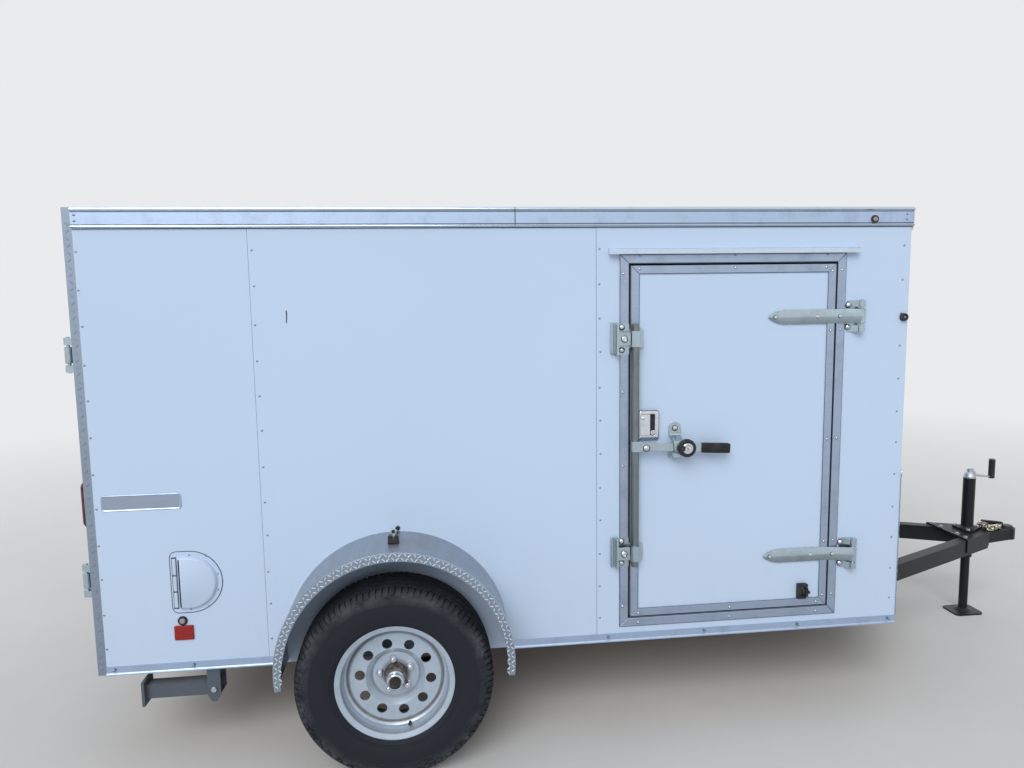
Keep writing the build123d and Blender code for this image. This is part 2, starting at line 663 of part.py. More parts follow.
# side door frame: flat face round the door, jamb through the wall, and the drip cap
face_y = -HALF_WIDTH - DOOR_FACE
inside_y = -HALF_WIDTH + WALL_THICK
drip_top = hole_top + DRIP_LAP
drip_low = drip_top - DRIP_HEIGHT
with BuildPart() as side_door_frame:
    block(at(hole_rear - FRAME_LAP), at(hole_front + FRAME_LAP), face_y, -HALF_WIDTH, FRAME_TOP - FRAME_DROP,
          hole_top + FRAME_LAP)
    block(at(hole_rear), at(hole_front), -HALF_WIDTH, inside_y, FRAME_TOP, hole_top)
    block(at(hole_rear + JAMB), at(hole_front - JAMB), face_y, inside_y, FRAME_TOP, hole_top - JAMB, Mode.SUBTRACT)
    drip_out = -HALF_WIDTH - DRIP_OUT
    moulding([(-HALF_WIDTH, drip_top), (drip_out + DRIP_WALL, drip_top - DRIP_RISE),
              (drip_out, drip_top - 2 * DRIP_RISE), (drip_out, drip_low), (drip_out + DRIP_WALL, drip_low),
              (drip_out + DRIP_WALL, drip_top - 3 * DRIP_RISE), (-HALF_WIDTH, drip_top - 2 * DRIP_RISE)],
             at(hole_rear - 1.5 * DRIP_LAP), at(hole_front + 1.5 * DRIP_LAP))
save(side_door_frame.part, "side_door_frame")

# side door leaf: a raised rim round a flat skin
skin_y = face_y + DOOR_RECESS
with BuildPart() as side_door:
    block(at(door_rear), at(door_front), face_y, face_y + DOOR_THICK, DOOR_BOTTOM, DOOR_TOP)
    block(at(door_rear + DOOR_TRIM), at(door_front - DOOR_TRIM), face_y, skin_y,
          DOOR_BOTTOM + DOOR_TRIM, DOOR_TOP - DOOR_TRIM, Mode.SUBTRACT)
save(side_door.part, "side_door")

# moulded holdback low on the side door
holdback_l = door_front - HOLDBACK_AHEAD
HOLDBACK_PROFILE = ((-28, -31), (28, -31), (28, -6), (12, 10), (12, 30), (-28, 30))
with BuildPart() as door_holdback:
    side_plate([(at(holdback_l + ahead), HOLDBACK_Z + up) for ahead, up in HOLDBACK_PROFILE], skin_y, -BAR_OUT)
    side_disc(at(holdback_l + BAR_RADIUS), skin_y, HOLDBACK_Z - BAR_RADIUS, BAR_RADIUS, -PADLOCK_THICK)
save(door_holdback.part, "door_holdback")


def strap(plane, tip, root, height):
    """A strap on a plane, pointed at its tip and bevelled along its edges."""
    way = 1 if root > tip else -1
    upper = [(tip + way * reach, height + half) for reach, half in STRAP_SHAPE] + [(root, height + STRAP_HALF)]
    lower = [(along, 2 * height - z) for along, z in reversed(upper)]
    with BuildSketch(plane) as outline:
        with BuildLine():
            Polyline(upper + lower, close=True)
        make_face()
    extrude(outline.sketch, amount=STRAP_THICK, taper=STRAP_BEVEL)


def hinge_leaf(points, pin_x, pin_y, height):
    """A strap's raised arm of (x, y) points with its eye round the pin, as tall as the strap."""
    with BuildSketch(Plane.XY.offset(height - STRAP_HALF)) as plan:
        with BuildLine():
            Polyline(points, close=True)
        make_face()
        with Locations((pin_x, pin_y)):
            Circle(EYE_RADIUS)
            Circle(PIN_RADIUS + PIN_FREE, mode=Mode.SUBTRACT)
    extrude(plan.sketch, amount=2 * STRAP_HALF)


def butt_ears(points, pin_x, pin_y, height):
    """A butt's two ears of (x, y) points, with the pin through both."""
    for ear in (height - BUTT_HALF, height + BUTT_HALF - BUTT_EAR):
        with BuildSketch(Plane.XY.offset(ear)) as plan:
            with BuildLine():
                Polyline(points, close=True)
            make_face()
            with Locations((pin_x, pin_y)):
                Circle(EYE_RADIUS)
        extrude(plan.sketch, amount=BUTT_EAR)
    drum(pin_x, pin_y, height - BUTT_HALF - PIN_RADIUS / 2, PIN_RADIUS, 2 * BUTT_HALF + PIN_RADIUS)


# side door hardware: straps, cam bar with collars and tabs, lever with grip, hasp and flush latch
pin_l = door_front + PIN_AHEAD
pin_y = -HALF_WIDTH - PIN_OUT
bar_l = door_rear + BAR_AHEAD
bar_y = face_y - BAR_OUT
bar_low = min(KEEPER_HEIGHTS) - COLLAR_HALF
bar_high = max(KEEPER_HEIGHTS) + COLLAR_HALF
hasp_l = door_rear + HASP_AHEAD
lever_out = bar_y - BAR_RADIUS - LEVER_THICK / 2
lever_end = bar_l + LEVER_LENGTH
root_l = door_front - STRAP_END
with BuildPart() as side_door_hardware:
    for z in STRAP_HEIGHTS:
        strap(Plane.XZ.offset(-face_y), at(root_l - STRAP_LENGTH), at(root_l), z)
        hinge_leaf([(at(root_l - LEAF_LAP), face_y), (at(root_l - LEAF_LAP), face_y - STRAP_THICK),
                    (at(pin_l), pin_y - EYE_RADIUS + OVERLAP), (at(pin_l), pin_y - PIN_RADIUS)], at(pin_l), pin_y, z)
    drum(at(bar_l), bar_y, bar_low, BAR_RADIUS, bar_high - bar_low)
    for z in KEEPER_HEIGHTS:
        drum(at(bar_l), bar_y, z - COLLAR_HALF, COLLAR_RADIUS, 2 * COLLAR_HALF)
        block(at(bar_l - BAR_RADIUS), at(bar_l + TAB_HALF), face_y, face_y - KEEPER_THICK,
              z - COLLAR_HALF, z + COLLAR_HALF)
        block(at(bar_l - TAB_REACH), at(bar_l), bar_y + BAR_RADIUS / 2, bar_y - BAR_RADIUS / 2,
              z - TAB_HALF, z + TAB_HALF)
    block(at(bar_l - COLLAR_RADIUS), at(bar_l + COLLAR_RADIUS), face_y, lever_out, LEVER_Z - LEVER_HALF,
          LEVER_Z + LEVER_HALF)
    side_plate([(at(bar_l - COLLAR_RADIUS), LEVER_Z - LEVER_HALF), (at(lever_end), LEVER_Z - LEVER_HALF),
                (at(lever_end), LEVER_Z + LEVER_HALF), (at(bar_l - COLLAR_RADIUS), LEVER_Z + LEVER_HALF)],
               lever_out, -LEVER_THICK)
    block(at(lever_end - GRIP_LAP), at(lever_end + GRIP_LENGTH - GRIP_LAP), lever_out + GRIP_THICK / 3,
          lever_out - GRIP_THICK * 2 / 3, LEVER_Z - GRIP_HALF, LEVER_Z + GRIP_HALF)
    with BuildSketch(Plane.XZ.offset(-skin_y)) as hasp:
        with Locations((at(hasp_l), LEVER_Z + (HASP_TOP - LEVER_HALF - HASP_HALF) / 2)):
            SlotOverall(HASP_TOP + LEVER_HALF + HASP_HALF, 2 * HASP_HALF, rotation=90)
    extrude(hasp.sketch, amount=HASP_THICK)
    block(at(hasp_l + HASP_HALF - HASP_THICK), at(hasp_l + HASP_HALF), skin_y - OVERLAP, lever_out + OVERLAP,
          LEVER_Z - LEVER_THICK, LEVER_Z + LEVER_THICK)
    with BuildSketch(Plane.XZ.offset(-skin_y)) as latch:
        with Locations((at(door_rear + LATCH_AHEAD), LEVER_Z + LATCH_ABOVE)):
            RectangleRounded(LATCH_WIDTH, LATCH_TALL, LATCH_ROUND)
    extrude(latch.sketch, amount=LATCH_THICK, taper=STRAP_BEVEL)
save(side_door_hardware.part, "side_door_hardware")

# round padlock, closed over the lever
padlock_l = hasp_l + PADLOCK_AHEAD
with BuildPart() as padlock:
    side_disc(at(padlock_l), lever_out - LEVER_THICK, LEVER_Z, PADLOCK_RADIUS, -PADLOCK_THICK)
    chamfer(padlock.faces().sort_by(Axis.Y)[0].edges(), PADLOCK_ROUND)
save(padlock.part, "padlock")

# hinge butts with their pins, and the bar keepers: side door first, then the rear doors
rear_face = at(-REAR_FRAME_DEPTH)
rear_pin_x = rear_face - PIN_OUT
rear_pin_y = HALF_WIDTH - REAR_PIN_INSET
keeper_front = hole_rear + JAMB
with BuildPart() as door_brackets:
    for z in STRAP_HEIGHTS:
        block(at(pin_l - BUTT_REACH), at(pin_l + PIN_RADIUS), -HALF_WIDTH, -HALF_WIDTH - BUTT_THICK,
              z - BUTT_HALF, z + BUTT_HALF)
        butt_ears([(at(pin_l - BUTT_REACH + EYE_RADIUS), -HALF_WIDTH), (at(pin_l - EYE_RADIUS), pin_y),
                   (at(pin_l + EYE_RADIUS), pin_y), (at(pin_l + PIN_RADIUS), -HALF_WIDTH)], at(pin_l), pin_y, z)
    for z in KEEPER_HEIGHTS:
        block(at(keeper_front - KEEPER_WIDTH), at(keeper_front), face_y, face_y - KEEPER_THICK,
              z - KEEPER_HALF, z + KEEPER_HALF)
        block(at(keeper_front - KEEPER_WIDTH - KEEPER_BEHIND), at(keeper_front - KEEPER_WIDTH), face_y,
              face_y - KEEPER_FLANGE, z - KEEPER_HALF, z + KEEPER_HALF)
        block(at(hole_rear - FRAME_LAP), at(keeper_front - KEEPER_WIDTH), face_y, face_y - KEEPER_THICK,
              z - KEEPER_HALF, z + KEEPER_HALF)
    for _, side in SIDES:
        pin_side = side * rear_pin_y
        for z in REAR_STRAP_HEIGHTS:
            block(rear_face, rear_face - BUTT_THICK, pin_side - side * REAR_PIN_INSET, pin_side + side * EYE_RADIUS,
                  z - BUTT_HALF, z + BUTT_HALF)
            butt_ears([(rear_face, pin_side - side * REAR_PIN_INSET), (rear_pin_x, pin_side - side * EYE_RADIUS),
                       (rear_pin_x, pin_side + side * EYE_RADIUS), (rear_face, pin_side + side * EYE_RADIUS)],
                      rear_pin_x, pin_side, z)
        for low in (REAR_SILL_TOP - REAR_KEEPER_TALL - KEEPER_THICK, REAR_HEADER_BOTTOM + KEEPER_THICK):
            high = low + REAR_KEEPER_TALL
            inner = REAR_BAR_Y - REAR_KEEPER_HALF
            outer = REAR_BAR_Y + REAR_KEEPER_HALF
            block(rear_face, rear_face - KEEPER_THICK, side * inner, side * outer, low, high)
            for edge in (inner, outer - PIN_RADIUS):
                block(rear_face, rear_face - KEEPER_FLANGE, side * edge, side * (edge + PIN_RADIUS), low, high)
save(door_brackets.part, "door_brackets")

# rear doors, each with its straps and cam bar
REAR_PLANE = Plane(origin=(rear_face, 0, 0), x_dir=(0, -1, 0), z_dir=(-1, 0, 0))
rear_low = REAR_SILL_TOP + REAR_GAP
rear_high = REAR_HEADER_BOTTOM - REAR_GAP
rear_outer_y = HALF_WIDTH - REAR_POST - REAR_GAP
rear_root = rear_outer_y - STRAP_END
leaf_y = rear_root - LEAF_LAP
for name, side in SIDES:
    inner_y = side * REAR_MEETING_GAP / 2
    outer_y = side * rear_outer_y
    with BuildPart() as rear_door:
        block(rear_face, rear_face + REAR_DOOR_THICK, inner_y, outer_y, rear_low, rear_high)
        block(rear_face, rear_face + DOOR_RECESS, inner_y + side * DOOR_TRIM, outer_y - side * DOOR_TRIM,
              rear_low + DOOR_TRIM, rear_high - DOOR_TRIM, Mode.SUBTRACT)
    save(rear_door.part, "rear_door_" + name)
    bar_side = side * REAR_BAR_Y
    rear_bar_x = rear_face - REAR_BAR_OUT
    with BuildPart() as rear_hardware:
        for z in REAR_STRAP_HEIGHTS:
            strap(REAR_PLANE, -side * (rear_root - STRAP_LENGTH), -side * rear_root, z)
            hinge_leaf([(rear_face, side * leaf_y), (rear_face - STRAP_THICK, side * leaf_y),
                        (rear_pin_x - EYE_RADIUS + OVERLAP, side * rear_pin_y),
                        (rear_pin_x - PIN_RADIUS, side * rear_pin_y)],
                       rear_pin_x, side * rear_pin_y, z)
        drum(rear_bar_x, bar_side, REAR_SILL_TOP - REAR_BAR_PAST, BAR_RADIUS,
             REAR_HEADER_BOTTOM - REAR_SILL_TOP + 2 * REAR_BAR_PAST)
        for z in REAR_GUIDES:
            drum(rear_bar_x, bar_side, z - STRAP_HALF, COLLAR_RADIUS, 2 * STRAP_HALF)
            block(rear_face + DOOR_RECESS, rear_bar_x, bar_side - BAR_RADIUS, bar_side + BAR_RADIUS,
                  z - STRAP_HALF, z + STRAP_HALF)
            block(rear_face + DOOR_RECESS, rear_face + DOOR_RECESS - KEEPER_THICK, bar_side - STRAP_HALF,
                  bar_side + STRAP_HALF, z - STRAP_HALF, z + STRAP_HALF)
        block(rear_bar_x, rear_bar_x - BAR_RADIUS, bar_side, bar_side + side * REAR_LEVER_LENGTH,
              LEVER_Z - LEVER_HALF, LEVER_Z + LEVER_HALF)
    save(rear_hardware.part, "rear_hardware_" + name)

# wheels: tyre, rim with hand holes, hub with nuts and grease cap
flange_radius = BEAD_RADIUS + FLANGE_RISE
well_radius = BEAD_RADIUS - WELL_DEPTH
hump_radius = BEAD_RADIUS - RIM_WALL
tyre_half = TYRE_WIDTH / 2
tyre_seat_y = RIM_HALF - FLANGE_LEAN - TYRE_SEAT_FREE
wall_foot = flange_radius + TYRE_OVER_FLANGE
foot = [(tyre_seat_y, BEAD_RADIUS), (tyre_seat_y, wall_foot), (tyre_half, wall_foot + TYRE_WALL_RISE)]
shoulder = [(tyre_half - inward, TYRE_RADIUS - down) for inward, down in TYRE_SHOULDER]
tyre_edge = foot + shoulder
tyre_points = tyre_edge + [(-y, r) for y, r in reversed(tyre_edge)]
back = DISC_Y - RIM_WALL
disc_inner = HAND_HOLE_CIRCLE - HAND_HOLE_RADIUS - HAND_HOLE_MARGIN
seat_y = RIM_HALF - FLANGE_LEAN
lip_y = RIM_HALF + FLANGE_THICK
ramp = 3 * RIM_STEP
rim_outside = [(-lip_y, flange_radius), (-RIM_HALF, flange_radius), (-seat_y, BEAD_RADIUS),
               (WELL_REAR - ramp, BEAD_RADIUS), (WELL_REAR, well_radius), (WELL_FRONT, well_radius),
               (WELL_FRONT + ramp, hump_radius), (HUMP_Y, hump_radius), (HUMP_Y + 2 * RIM_STEP, BEAD_RADIUS),
               (seat_y, BEAD_RADIUS), (RIM_HALF, flange_radius), (lip_y, flange_radius)]
rim_front = [(lip_y, flange_radius - RIM_WALL), (RIM_HALF, BEAD_RADIUS - RIM_WALL),
             (HUMP_Y + 2 * RIM_STEP, BEAD_RADIUS - 2 * RIM_STEP), (HUMP_Y + RIM_STEP, hump_radius - RIM_WALL),
             (DISC_Y + RIM_STEP, hump_radius - 2 * RIM_STEP), (DISC_Y - RIM_STEP, DISC_EDGE + 2 * RIM_STEP),
             (DISC_Y - RIM_STEP - FLANGE_LEAN, DISC_EDGE + RIM_STEP), (DISC_Y, DISC_EDGE - FLANGE_LEAN),
             (DISC_Y, disc_inner), (NAVE_Y + 2 * RIM_STEP, NAVE_RADIUS + RIM_STEP),
             (NAVE_Y, NAVE_RADIUS - RIM_STEP), (NAVE_Y, BORE_RADIUS)]
rim_back = [(NAVE_Y - RIM_WALL, BORE_RADIUS), (NAVE_Y - RIM_WALL, NAVE_RADIUS),
            (NAVE_Y + FLANGE_LEAN, NAVE_RADIUS + 2 * RIM_STEP), (back, disc_inner),
            (back, DISC_EDGE - 2 * RIM_STEP),
            (back - 2 * RIM_STEP, DISC_EDGE + RIM_STEP), (back - 4 * RIM_STEP, hump_radius - RIM_WALL),
            (WELL_FRONT + 2 * RIM_STEP, hump_radius - RIM_WALL), (WELL_FRONT, well_radius - RIM_WALL),
            (WELL_REAR, well_radius - RIM_WALL), (WELL_REAR - ramp, BEAD_RADIUS - RIM_WALL),
            (-RIM_HALF, BEAD_RADIUS - RIM_WALL)]
rim_points = rim_outside + rim_front + rim_back
hub_front = NAVE_Y - RIM_WALL - HUB_FREE
spindle_y = spindle_end - wheel_plane_y
bore = SPINDLE_RADIUS + PIN_FREE
plug_y = RIM_HALF + CAP_PROUD
flange_back = hub_front - HUB_FLANGE_THICK
cap_root = HUB_BARREL_Y + HUB_CHAMFER
hub_points = [(-HUB_BACK, bore), (-HUB_BACK, HUB_RADIUS), (flange_back, HUB_RADIUS),
              (flange_back, HUB_FLANGE_RADIUS), (hub_front, HUB_FLANGE_RADIUS), (hub_front, HUB_RADIUS),
              (HUB_BARREL_Y, HUB_RADIUS), (cap_root, HUB_RADIUS - HUB_CHAMFER), (cap_root, CAP_RADIUS),
              (plug_y - 3 * CAP_STEP, CAP_RADIUS), (plug_y - CAP_STEP, CAP_RADIUS - 2 * CAP_STEP),
              (plug_y - CAP_STEP, CAP_PLUG_RADIUS), (plug_y, CAP_PLUG_RADIUS - CAP_STEP), (plug_y, 0),
              (spindle_y + CAP_STEP, 0), (spindle_y + CAP_STEP, bore)]
wheel_axis = Axis((at(AXLE_L), 0, 0), (0, 1, 0))


def turned(points):
    """A section of (y, radius) points, turned round the wheel's axis with its middle at y = 0, z = 0."""
    with BuildSketch(Plane.YZ.offset(at(AXLE_L))) as section:
        with BuildLine():
            Polyline(points, close=True)
        make_face()
    revolve(section.sketch, axis=wheel_axis)


def mounted(part, side):
    """A wheel part that was made with its outer face towards +y, put on its side of the axle."""
    facing = part if side > 0 else part.rotate(Axis((at(AXLE_L), 0, 0), (0, 0, 1)), 180)
    return facing.moved(Location((0, side * wheel_plane_y, TYRE_RADIUS)))


with BuildPart() as tyre:
    turned(tyre_points)
with BuildPart() as rim:
    turned(rim_points)
    with BuildSketch(Plane.XZ.offset(-DISC_Y - OVERLAP)) as holes:
        with Locations((at(AXLE_L), 0)):
            with PolarLocations(HAND_HOLE_CIRCLE, HAND_HOLES, start_angle=HAND_HOLE_TURN):
                Circle(HAND_HOLE_RADIUS)
    extrude(holes.sketch, amount=DISC_Y, mode=Mode.SUBTRACT)
with BuildPart() as hub:
    turned(hub_points)
    with BuildSketch(Plane.XZ.offset(-NAVE_Y)) as nuts:
        with Locations((at(AXLE_L), 0)):
            with PolarLocations(NUT_CIRCLE, NUTS, start_angle=NUT_TURN):
                RegularPolygon(NUT_RADIUS, 6)
    extrude(nuts.sketch, amount=-NUT_HEIGHT, taper=NUT_TAPER)
for name, side in SIDES:
    save(mounted(tyre.part, side), "tyre_" + name)
    save(mounted(rim.part, side), "rim_" + name)
    save(mounted(hub.part, side), "hub_" + name)

# fenders: rolled band, the lip on its outer edge and the plate behind its rear foot
fender_width = wheel_plane_y + tyre_half + FENDER_OVERHANG - HALF_WIDTH
for name, side in SIDES:
    with BuildPart() as fender:
        with BuildSketch(Plane.XZ.offset(-side * HALF_WIDTH)) as band:
            with Locations((at(fender_l), fender_z)):
                Circle(fender_radius)
                Circle(fender_radius - FENDER_THICK, mode=Mode.SUBTRACT)
            with Locations((at(fender_l), FENDER_FOOT_Z - fender_radius)):
                Rectangle(3 * fender_radius, 2 * fender_radius, mode=Mode.SUBTRACT)
        extrude(band.sketch, amount=-side * fender_width)
        with BuildSketch(Plane.XZ.offset(-side * (HALF_WIDTH + fender_width - FENDER_LIP))) as lip:
            with Locations((at(fender_l), fender_z)):
                Circle(fender_radius)
            with Locations((at(fender_l), fender_z - LIP_DROP)):
                Circle(fender_radius - LIP_SHRINK, mode=Mode.SUBTRACT)
            with Locations((at(fender_l), FENDER_FOOT_Z - fender_radius)):
                Rectangle(3 * fender_radius, 2 * fender_radius, mode=Mode.SUBTRACT)
        extrude(lip.sketch, amount=-side * FENDER_LIP)
        block(at(fender_l - fender_foot - FOOT_PLATE), at(fender_l - fender_foot + OVERLAP), side * HALF_WIDTH,
              side * (HALF_WIDTH + FENDER_THICK), SKIRT_BOTTOM, FOOT_PLATE_TOP)
    save(fender.part, "fender_" + name)

# lamps: round markers on both sides, reflectors low at the rear, tail lamps on the rear posts
with BuildPart() as lamps:
    for _, side in SIDES:
        for _, length, z, radius, proud in LAMPS:
            with BuildSketch(Plane.XZ.offset(-side * (HALF_WIDTH + proud))) as lens:
                with Locations((at(length), z)):
                    Circle(radius)
            extrude(lens.sketch, amount=-side * LAMP_THICK, taper=LAMP_TAPER)
        with BuildSketch(REAR_PLANE) as tail:
            with Locations((side * (HALF_WIDTH - REAR_POST / 2), TAIL_Z)):
                SlotOverall(TAIL_TALL, TAIL_WIDE, rotation=90)
        extrude(tail.sketch, amount=TAIL_THICK, taper=LAMP_TAPER)
        block(at(REFLECTOR_L), at(REFLECTOR_L + REFLECTOR_WIDE), side * HALF_WIDTH,
              side * (HALF_WIDTH + REFLECTOR_THICK), REFLECTOR_BOTTOM, REFLECTOR_TOP)
save(lamps.part, "lamps")

# flow-through vents: D-shaped hoods, low at the rear of both sides, open to the rear
with BuildPart() as side_vents:
    for _, side in SIDES:
        straight = VENT_L + VENT_STRAIGHT * VENT_LENGTH
        middle = (VENT_BOTTOM + VENT_TOP) / 2
        for inset, deep, mode in ((0.0, VENT_OUT, Mode.ADD), (VENT_WALL, VENT_OUT - VENT_WALL, Mode.SUBTRACT)):
            rear = VENT_L - 4 * inset
            low = VENT_BOTTOM + 2 * inset
            high = VENT_TOP - 2 * inset
            nose = VENT_L + VENT_LENGTH - 2 * inset
            with BuildSketch(Plane.XZ.offset(-side * HALF_WIDTH)) as hood:
                with BuildLine():
                    Polyline((at(straight), low), (at(rear), low), (at(rear), high), (at(straight), high))
                    ThreePointArc((at(straight), high), (at(nose), middle), (at(straight), low))
                make_face()
            extrude(hood.sketch, amount=-side * deep, taper=VENT_SLOPE, mode=mode)
save(side_vents.part, "side_vents")

# folded stabiliser legs under the rear corners, their brackets fixed to the rails
stab_y = HALF_WIDTH - STAB_INSET
cheek_in = STAB_HALF + STAB_CHEEK_GAP
cheek_out = cheek_in + STAB_CHEEK
with BuildPart() as stabiliser_brackets:
    for _, side in SIDES:
        y = side * stab_y
        for way in (-1, 1):
            side_plate([(at(STAB_PIVOT_L - STAB_CHEEK_HALF), FRAME_BOTTOM),
                        (at(STAB_PIVOT_L + STAB_CHEEK_HALF), FRAME_BOTTOM),
                        (at(STAB_PIVOT_L + STAB_CHEEK_HALF), STAB_PIVOT_Z - STAB_CHEEK_BELOW / 2),
                        (at(STAB_PIVOT_L + STAB_PIN_RADIUS), STAB_PIVOT_Z - STAB_CHEEK_BELOW),
                        (at(STAB_PIVOT_L - STAB_PIN_RADIUS), STAB_PIVOT_Z - STAB_CHEEK_BELOW),
                        (at(STAB_PIVOT_L - STAB_CHEEK_HALF), STAB_PIVOT_Z - STAB_CHEEK_BELOW / 2)],
                       y + way * cheek_in, way * STAB_CHEEK)
        block(at(STAB_PIVOT_L - STAB_CHEEK_HALF), at(STAB_PIVOT_L + STAB_CHEEK_HALF), y - cheek_out, y + cheek_out,
              FRAME_BOTTOM - STAB_CHEEK, FRAME_BOTTOM)
        side_disc(at(STAB_PIVOT_L), y - cheek_out, STAB_PIVOT_Z, STAB_PIN_RADIUS, 2 * cheek_out)
save(stabiliser_brackets.part, "stabiliser_brackets")
for name, side in SIDES:
    y = side * stab_y
    tail = at(STAB_PIVOT_L + STAB_TAIL)
    sole = at(STAB_PIVOT_L - STAB_LENGTH)
    with BuildPart() as stabiliser_leg:
        block(sole, tail, y - STAB_HALF, y + STAB_HALF, STAB_PIVOT_Z - STAB_HALF, STAB_PIVOT_Z + STAB_HALF)
        block(sole, tail, y - STAB_HALF + STAB_WALL, y + STAB_HALF - STAB_WALL, STAB_PIVOT_Z - STAB_HALF + STAB_WALL,
              STAB_PIVOT_Z + STAB_HALF - STAB_WALL, Mode.SUBTRACT)
        block(sole - STAB_FOOT_THICK, sole, y - STAB_FOOT_HALF, y + STAB_FOOT_HALF,
              STAB_PIVOT_Z - STAB_FOOT_HALF, STAB_PIVOT_Z + STAB_FOOT_HALF)
        side_disc(at(STAB_PIVOT_L), y - STAB_HALF, STAB_PIVOT_Z, STAB_PIN_RADIUS + STAB_WALL, 2 * STAB_HALF)
        side_disc(at(STAB_PIVOT_L), y - STAB_HALF, STAB_PIVOT_Z, STAB_PIN_RADIUS + PIN_FREE, 2 * STAB_HALF,
                  Mode.SUBTRACT)
    save(stabiliser_leg.part, "stabiliser_leg_" + name)
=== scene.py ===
"""The looks of an enclosed single-axle cargo trailer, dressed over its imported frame.

Lengths are in metres in the trailer's own frame: X runs forward to the hitch, Y to the left, Z up.
"""
import sys
import logging
import math
import random
from collections.abc import Iterable, Sequence
from dataclasses import dataclass
from enum import Enum

import bmesh
import bpy
from bpy.types import Material, Node, NodeSocket, Object, World
from mathutils import Matrix, Vector


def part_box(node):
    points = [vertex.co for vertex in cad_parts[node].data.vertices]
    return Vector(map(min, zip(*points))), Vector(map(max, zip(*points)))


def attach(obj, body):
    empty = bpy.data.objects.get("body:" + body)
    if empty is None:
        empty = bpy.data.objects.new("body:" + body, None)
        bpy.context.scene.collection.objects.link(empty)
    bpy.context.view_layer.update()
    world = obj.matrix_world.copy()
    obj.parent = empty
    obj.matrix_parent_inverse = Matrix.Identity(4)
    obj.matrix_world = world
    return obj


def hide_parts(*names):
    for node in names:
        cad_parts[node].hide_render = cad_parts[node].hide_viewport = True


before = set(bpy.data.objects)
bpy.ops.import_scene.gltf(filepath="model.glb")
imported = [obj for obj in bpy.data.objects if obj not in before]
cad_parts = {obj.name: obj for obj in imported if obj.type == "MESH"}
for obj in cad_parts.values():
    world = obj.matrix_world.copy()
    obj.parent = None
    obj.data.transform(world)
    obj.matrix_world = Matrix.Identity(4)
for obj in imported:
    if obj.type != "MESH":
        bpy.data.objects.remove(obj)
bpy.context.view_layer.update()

LOG = logging.getLogger("trailer")
RANDOM = random.Random(7)
NOSE_FOLD = 0.0018
FORWARD = Vector((1.0, 0.0, 0.0))
LEFTWARD = Vector((0.0, 1.0, 0.0))
UPWARD = Vector((0.0, 0.0, 1.0))

Point = tuple[float, float]
Triple = tuple[float, float, float]
Colour = Triple


class Side(Enum):
    """A side of the trailer, with the sign of its Y."""

    RIGHT = -1
    LEFT = 1

    @property
    def label(self) -> str:
        """The side's word in node names."""
        return self.name.lower()


class Body(Enum):
    """The moving bodies that pieces ride on."""

    TRAILER = "trailer"
    SIDE_DOOR = "side_door"
    REAR_DOOR_RIGHT = "rear_door_right"
    REAR_DOOR_LEFT = "rear_door_left"
    WHEEL_RIGHT = "wheel_right"
    WHEEL_LEFT = "wheel_left"


class Value:
    """A number or a colour that varies over a surface, with the usual sums."""

    def __init__(self, graph: "Graph", socket: NodeSocket) -> None:
        """Holds the socket that gives the value, and its graph."""
        self.graph = graph
        self.socket = socket

    def __add__(self, other: object) -> "Value":
        """This value plus the other."""
        return self.graph.math("ADD", self, other)

    def __radd__(self, other: object) -> "Value":
        """The other plus this value."""
        return self.graph.math("ADD", other, self)

    def __sub__(self, other: object) -> "Value":
        """This value less the other."""
        return self.graph.math("SUBTRACT", self, other)

    def __rsub__(self, other: object) -> "Value":
        """The other less this value."""
        return self.graph.math("SUBTRACT", other, self)

    def __mul__(self, other: object) -> "Value":
        """This value times the other."""
        return self.graph.math("MULTIPLY", self, other)

    def __truediv__(self, other: object) -> "Value":
        """This value divided by the other."""
        return self.graph.math("DIVIDE", self, other)

    def __pow__(self, other: object) -> "Value":
        """This value to the power of the other."""
        return self.graph.math("POWER", self, other)

    def __abs__(self) -> "Value":
        """This value without its sign."""
        return self.graph.math("ABSOLUTE", self)

    def held(self) -> "Value":
        """The result of the last sum, kept between 0 and 1."""
        self.socket.node.use_clamp = True
        return self


